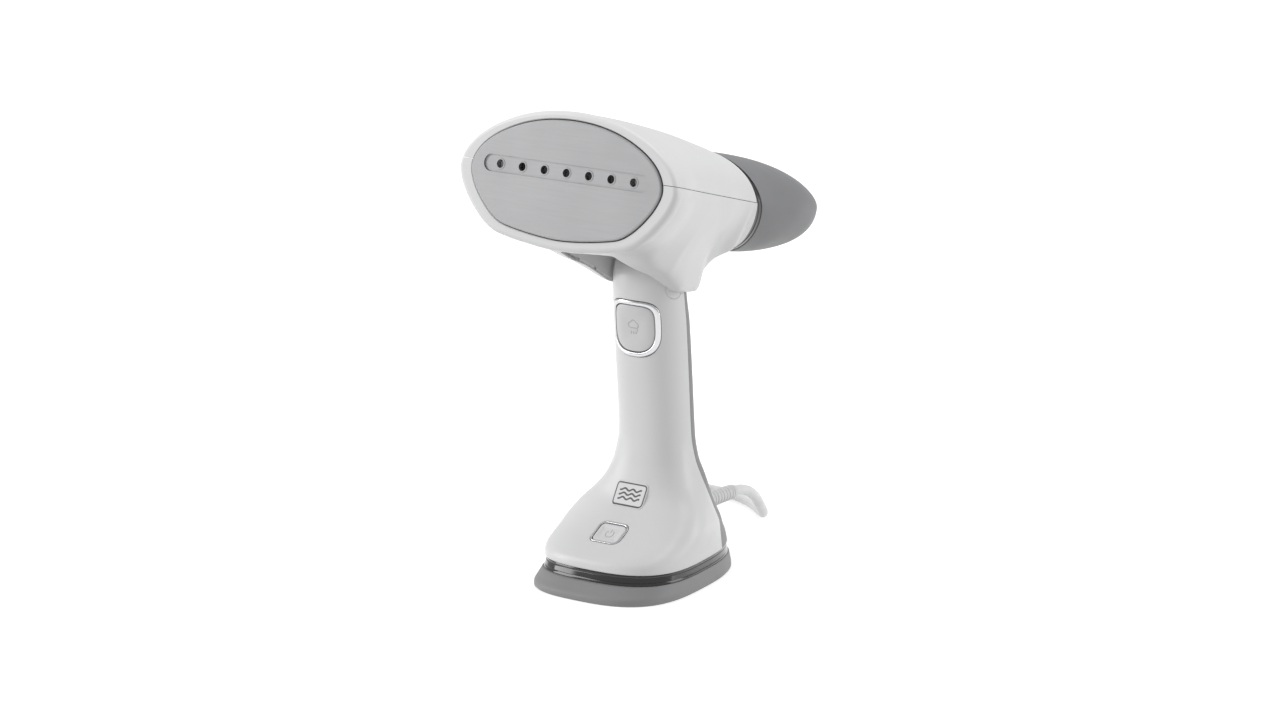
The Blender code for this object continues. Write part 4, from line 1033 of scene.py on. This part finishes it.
def power_outline(inset):
    corner = max(POWER_CORNER - inset, 0.4)
    return rounded_box(POWER_HALF_WIDTH - inset, POWER_HALF_HEIGHT - inset, corner, 14)


def badge_outline(inset):
    return rounded_box(BADGE_HALF_WIDTH - inset, BADGE_HALF_HEIGHT - inset, BADGE_CORNER - inset)


def hinge_bores():
    return [rod("bore", HINGE_BORE_RADIUS, side * 30, side * 12, "x", 48, HINGE_AXIS) for side in (1, -1)]


def handle_covers(whole):
    """Front and rear covers of the handle, with their openings."""
    shell = cut(whole, handle_solid("hollow", HANDLE_WALL, SKIRT_BOTTOM - 2, 64, 4.0))
    seam = [(smooth_value(SEAM_PROFILE, z), z) for z in spaced(5, 200, 3.0)]
    front_side = [(y - GAP / 2, z) for y, z in seam] + [(-90, 200), (-90, 5)]
    rear_side = [(y + GAP / 2, z) for y, z in seam] + [(90, 200), (90, 5)]
    front = copy_of(shell, "handle_front_cover")
    shell.name = "handle_rear_cover"
    keep_inside(front, prism("front_side", front_side, -60, 60, "x"))
    keep_inside(shell, prism("rear_side", rear_side, -60, 60, "x"))
    steam_hole = move(prism("steam_hole", steam_outline(-HOLE_GAP), -8, 40), STEAM_PLACE)
    power_hole = move(prism("power_hole", power_outline(-HOLE_GAP), -10, 12), POWER_PLACE)
    cut(front, steam_hole, power_hole, *hinge_bores())
    tools = [rod("cord_hole", 6.4, 40, 70, "y", 40, (0, CORD_EXIT[2]))]
    tools += [rod("screw_hole", 3.3, 20, 60, "y", 32, (0, z)) for z in HANDLE_SCREW_HEIGHTS]
    cut(shell, *tools, *hinge_bores())
    dress(front, "white_plastic", "handle_assembly", "handle_front_shell")
    dress(shell, "grey_plastic", "handle_assembly", "handle_rear_shell")


def steam_button(tree):
    """Chrome bezel, dished cap and a plain cloud with three jets."""
    bezel = draped("steam_bezel", tree, STEAM_PLACE, steam_outline,
                   [(0.0, -2.0), (0.0, 0.1), (0.25, 0.5), (0.7, 0.78), (1.3, 0.85), (1.9, 0.75), (2.4, 0.42),
                    (BEZEL_WIDTH, 0.0), (BEZEL_WIDTH, -2.0)], closed_path=True)
    dress(bezel, "chrome", "handle_assembly", "steam_button_bezel", angle=60.0)
    edge = BEZEL_WIDTH + 0.4
    profile = [(edge, -2.2), (edge, -0.25), (edge + 0.12, 0.05), (edge + 0.4, 0.22), (edge + 0.9, 0.24)]
    for inset in spaced(edge + 1.4, 15.3, 0.7):
        profile.append((inset, 0.24 - 1.15 * ease(edge + 0.9, 15.3, inset)))
    cap = draped("steam_cap", tree, STEAM_PLACE, steam_outline, profile)
    join(cap, block("stem", (-2.6, -6.2, 146.4), (2.6, 0.4, 151.6)))
    dress(cap, "cap_plastic", "steam_button_cap", "steam_button", slot="white_plastic")
    top = surface_of(cap)
    cloud = []
    for centre, radius, low, high in (((2.0, 0.9), 1.5, -90, 70), ((0.1, 2.1), 1.9, 20, 160),
                                      ((-2.0, 1.0), 1.6, 110, 270)):
        for step in range(13):
            angle = math.radians(low + (high - low) * step / 12)
            cloud.append((centre[0] + radius * math.cos(angle), centre[1] + radius * math.sin(angle)))
    sign = stroke("steam_sign", top, STEAM_PLACE, cloud, 0.5, -0.1, 0.06, closed_path=True)
    jets = [stroke("jet", top, STEAM_PLACE, [(x, -1.6), (x, -2.8), (x, -4.2)], 0.5, -0.1, 0.06)
            for x in (-1.7, 0.0, 1.7)]
    dress(join(sign, *jets), "faint_mark", "steam_button_cap", slot="white_plastic")


def power_button(tree):
    ring = draped("power_bezel", tree, POWER_PLACE, power_outline,
                  [(0.0, -1.8), (0.0, 0.1), (0.2, 0.4), (0.6, 0.5), (1.0, 0.4), (1.2, 0.1), (1.2, -1.8)],
                  closed_path=True)
    dress(ring, "chrome", "handle_assembly", "power_button_ring", angle=60.0)
    profile = [(1.5, -2.0), (1.5, -0.3), (1.62, -0.1), (1.95, 0.0)]
    profile += [(inset, -0.5 * ease(2.4, 5.2, inset)) for inset in spaced(2.5, 7.6, 0.5)]
    cap = draped("power_cap", tree, POWER_PLACE, power_outline, profile)
    join(cap, move(block("stem", (-2, -2, -6), (2, 2, -1.2)), POWER_PLACE))
    dress(cap, "white_plastic", "power_button_cap", "power_button")
    top = surface_of(cap)
    arc = [(2.6 * math.sin(math.radians(angle)), 2.6 * math.cos(math.radians(angle)))
           for angle in range(40, 321, 14)]
    sign = stroke("power_sign", top, POWER_PLACE, arc, 0.45, -0.1, 0.05)
    bar = stroke("bar", top, POWER_PLACE, [(0.0, 3.3), (0.0, 2.2), (0.0, 0.9)], 0.45, -0.1, 0.05)
    dress(join(sign, bar), "faint_mark", "power_button_cap", slot="white_plastic")


def badge(tree):
    """Blank plate with a printed border and three plain waves."""
    plate = draped("badge_plate", tree, BADGE_PLACE, badge_outline,
                   [(0.0, -0.6), (0.0, 0.25), (0.15, 0.4), (0.4, 0.45), (1.6, 0.45)])
    dress(plate, "white_plastic", "handle_assembly", "badge")
    top = surface_of(plate)
    border = rounded_box(10.3, 5.7, 1.9, 8)
    sign = stroke("badge_print", top, BADGE_PLACE, border, 0.75, -0.1, 0.03, closed_path=True)
    waves = []
    for height in (2.3, 0.0, -2.3):
        line = [(x, height + 0.55 * math.sin(math.tau * x / 5.6)) for x in spaced(-7.6, 7.6, 0.4)]
        waves.append(stroke("wave", top, BADGE_PLACE, line, 0.95, -0.1, 0.03))
    dress(join(sign, *waves), "mark", "handle_assembly", slot="black_plastic")


def hinge_bosses():
    """Round bushes flush in the handle's sides, with the studs that the head turns on."""
    for side, name in ((1, "right"), (-1, "left")):
        boss = rod(f"hinge_boss_{name}", HINGE_BUSH_RADIUS, side * 14, side * 24, "x", 64, HINGE_AXIS)
        keep_inside(boss, handle_solid("side", 0.05, 150, 196, 2.0))
        dress(boss, "white_plastic", "handle_assembly", f"hinge_bush_{name}")
        stud = rod(f"hinge_pin_{name}", HINGE_STUD_RADIUS, side * 12, side * 20.5, "x", 32, HINGE_AXIS)
        join(stud, rod("end", 1.5, side * 20, side * 23.4, "x", 24, HINGE_AXIS))
        dress(stud, "steel", "head_assembly", f"hinge_stud_{name}")


# ---- foot and screws

def base_outline(z, half_width, front, rear, count=200):
    middle, depth = (front + rear) / 2, (rear - front) / 2
    return [(x * (1 - 0.24 * y / depth), middle + y, z)
            for x, y in oval(half_width, depth, depth, 2.8, 2.8, count)]


def foot():
    def sizes(z):
        return [smooth_column(FOOT_PROFILE, column, z) for column in (1, 2, 3)]

    rings = [base_outline(z, *sizes(z)) for z in spaced(0.0, FOOT_HEIGHT - 0.4, 0.4)]
    half_width, front, rear = sizes(FOOT_HEIGHT)
    rings.append(base_outline(FOOT_HEIGHT, half_width - 0.3, front + 0.4, rear - 0.3))
    piece = loft("foot_dish", rings)
    cut(piece, loft("dish", [base_outline(z, 39.0, -49.0, 58.6, 120) for z in (2.6, 12.0)]),
        *[rod("screw_hole", 2.1, -1, 5, "z", 32, place) for place in FOOT_SCREWS],
        *[rod("screw_seat", 4.1, -1, 1.9, "z", 32, place) for place in FOOT_SCREWS])
    dress(piece, "grey_plastic", "handle_assembly", "base_foot")


def band():
    """Smoked band between foot and skirt, with two fine grooves."""
    low, high = FOOT_HEIGHT + GAP, SKIRT_BOTTOM - GAP
    rings = [base_outline(low, 37.4, -46.4, 56.0)]
    for z in spaced(low, high, 0.3):
        lean = (z - low) / (high - low)
        groove = sum(0.25 * (1 - ease(0.0, 0.35, abs(z - line))) for line in (low + 1.1, high - 1.1))
        rings.append(base_outline(z, 41.9 - 0.7 * lean - groove, -52.4 + 2.2 * lean + groove,
                                  61.9 - 1.9 * lean - groove))
    rings.append(base_outline(high, 37.4, -46.4, 56.0))
    ring = loft("smoked_band", rings, closed_path=True)
    dress(ring, "smoked_plastic", "handle_assembly", "base_band")


def screw(name, node, radius, length, head_radius, head_height, matrix):
    """Pan-head screw along local z, head at the bottom, with a cross recess."""
    profile = [(head_radius * 0.7, 0.0), (head_radius * 0.92, 0.25), (head_radius, 0.7),
               (head_radius, head_height), (radius, head_height), (radius, length)]
    body = turned(name, profile, "z", 32)
    cut(body, block("cross", (-head_radius * 0.6, -0.35, -1), (head_radius * 0.6, 0.35, 0.9)))
    cut(body, block("cross", (-0.35, -head_radius * 0.6, -1), (0.35, head_radius * 0.6, 0.9)))
    dress(move(body, matrix), "steel", "handle_assembly", node)


def screws():
    for i, (x, y) in enumerate(FOOT_SCREWS):
        matrix = Matrix.Translation((x, y, 0.2))
        screw(f"foot_fixing_{i + 1}", f"foot_screw_{i + 1}", 1.8, 9.0, 3.7, 1.2, matrix)
    for i, z in enumerate(HANDLE_SCREW_HEIGHTS):
        rear = smooth_column(HANDLE_PROFILE, 2, z)
        matrix = Matrix.Translation((0, rear - 0.4, z)) @ Matrix.Rotation(math.radians(90), 4, "X")
        screw(f"handle_fixing_{i + 1}", f"handle_screw_{i + 1}", 1.6, 10.0, 2.9, 1.6, matrix)


# ---- the scene

camera()
flex, flex_length = cord()
plug_pieces = plug()
cord_strap()
studio()
dress_cad_nodes()
strain_relief()
head_covers()
steam_plate()
water_tank()
fill_lid()
joint_collar()
handle = handle_solid("handle", 0.0)
handle_surface = surface_of(handle)
handle_covers(handle)
steam_button(handle_surface)
power_button(handle_surface)
badge(handle_surface)
hinge_bosses()
foot()
band()
screws()
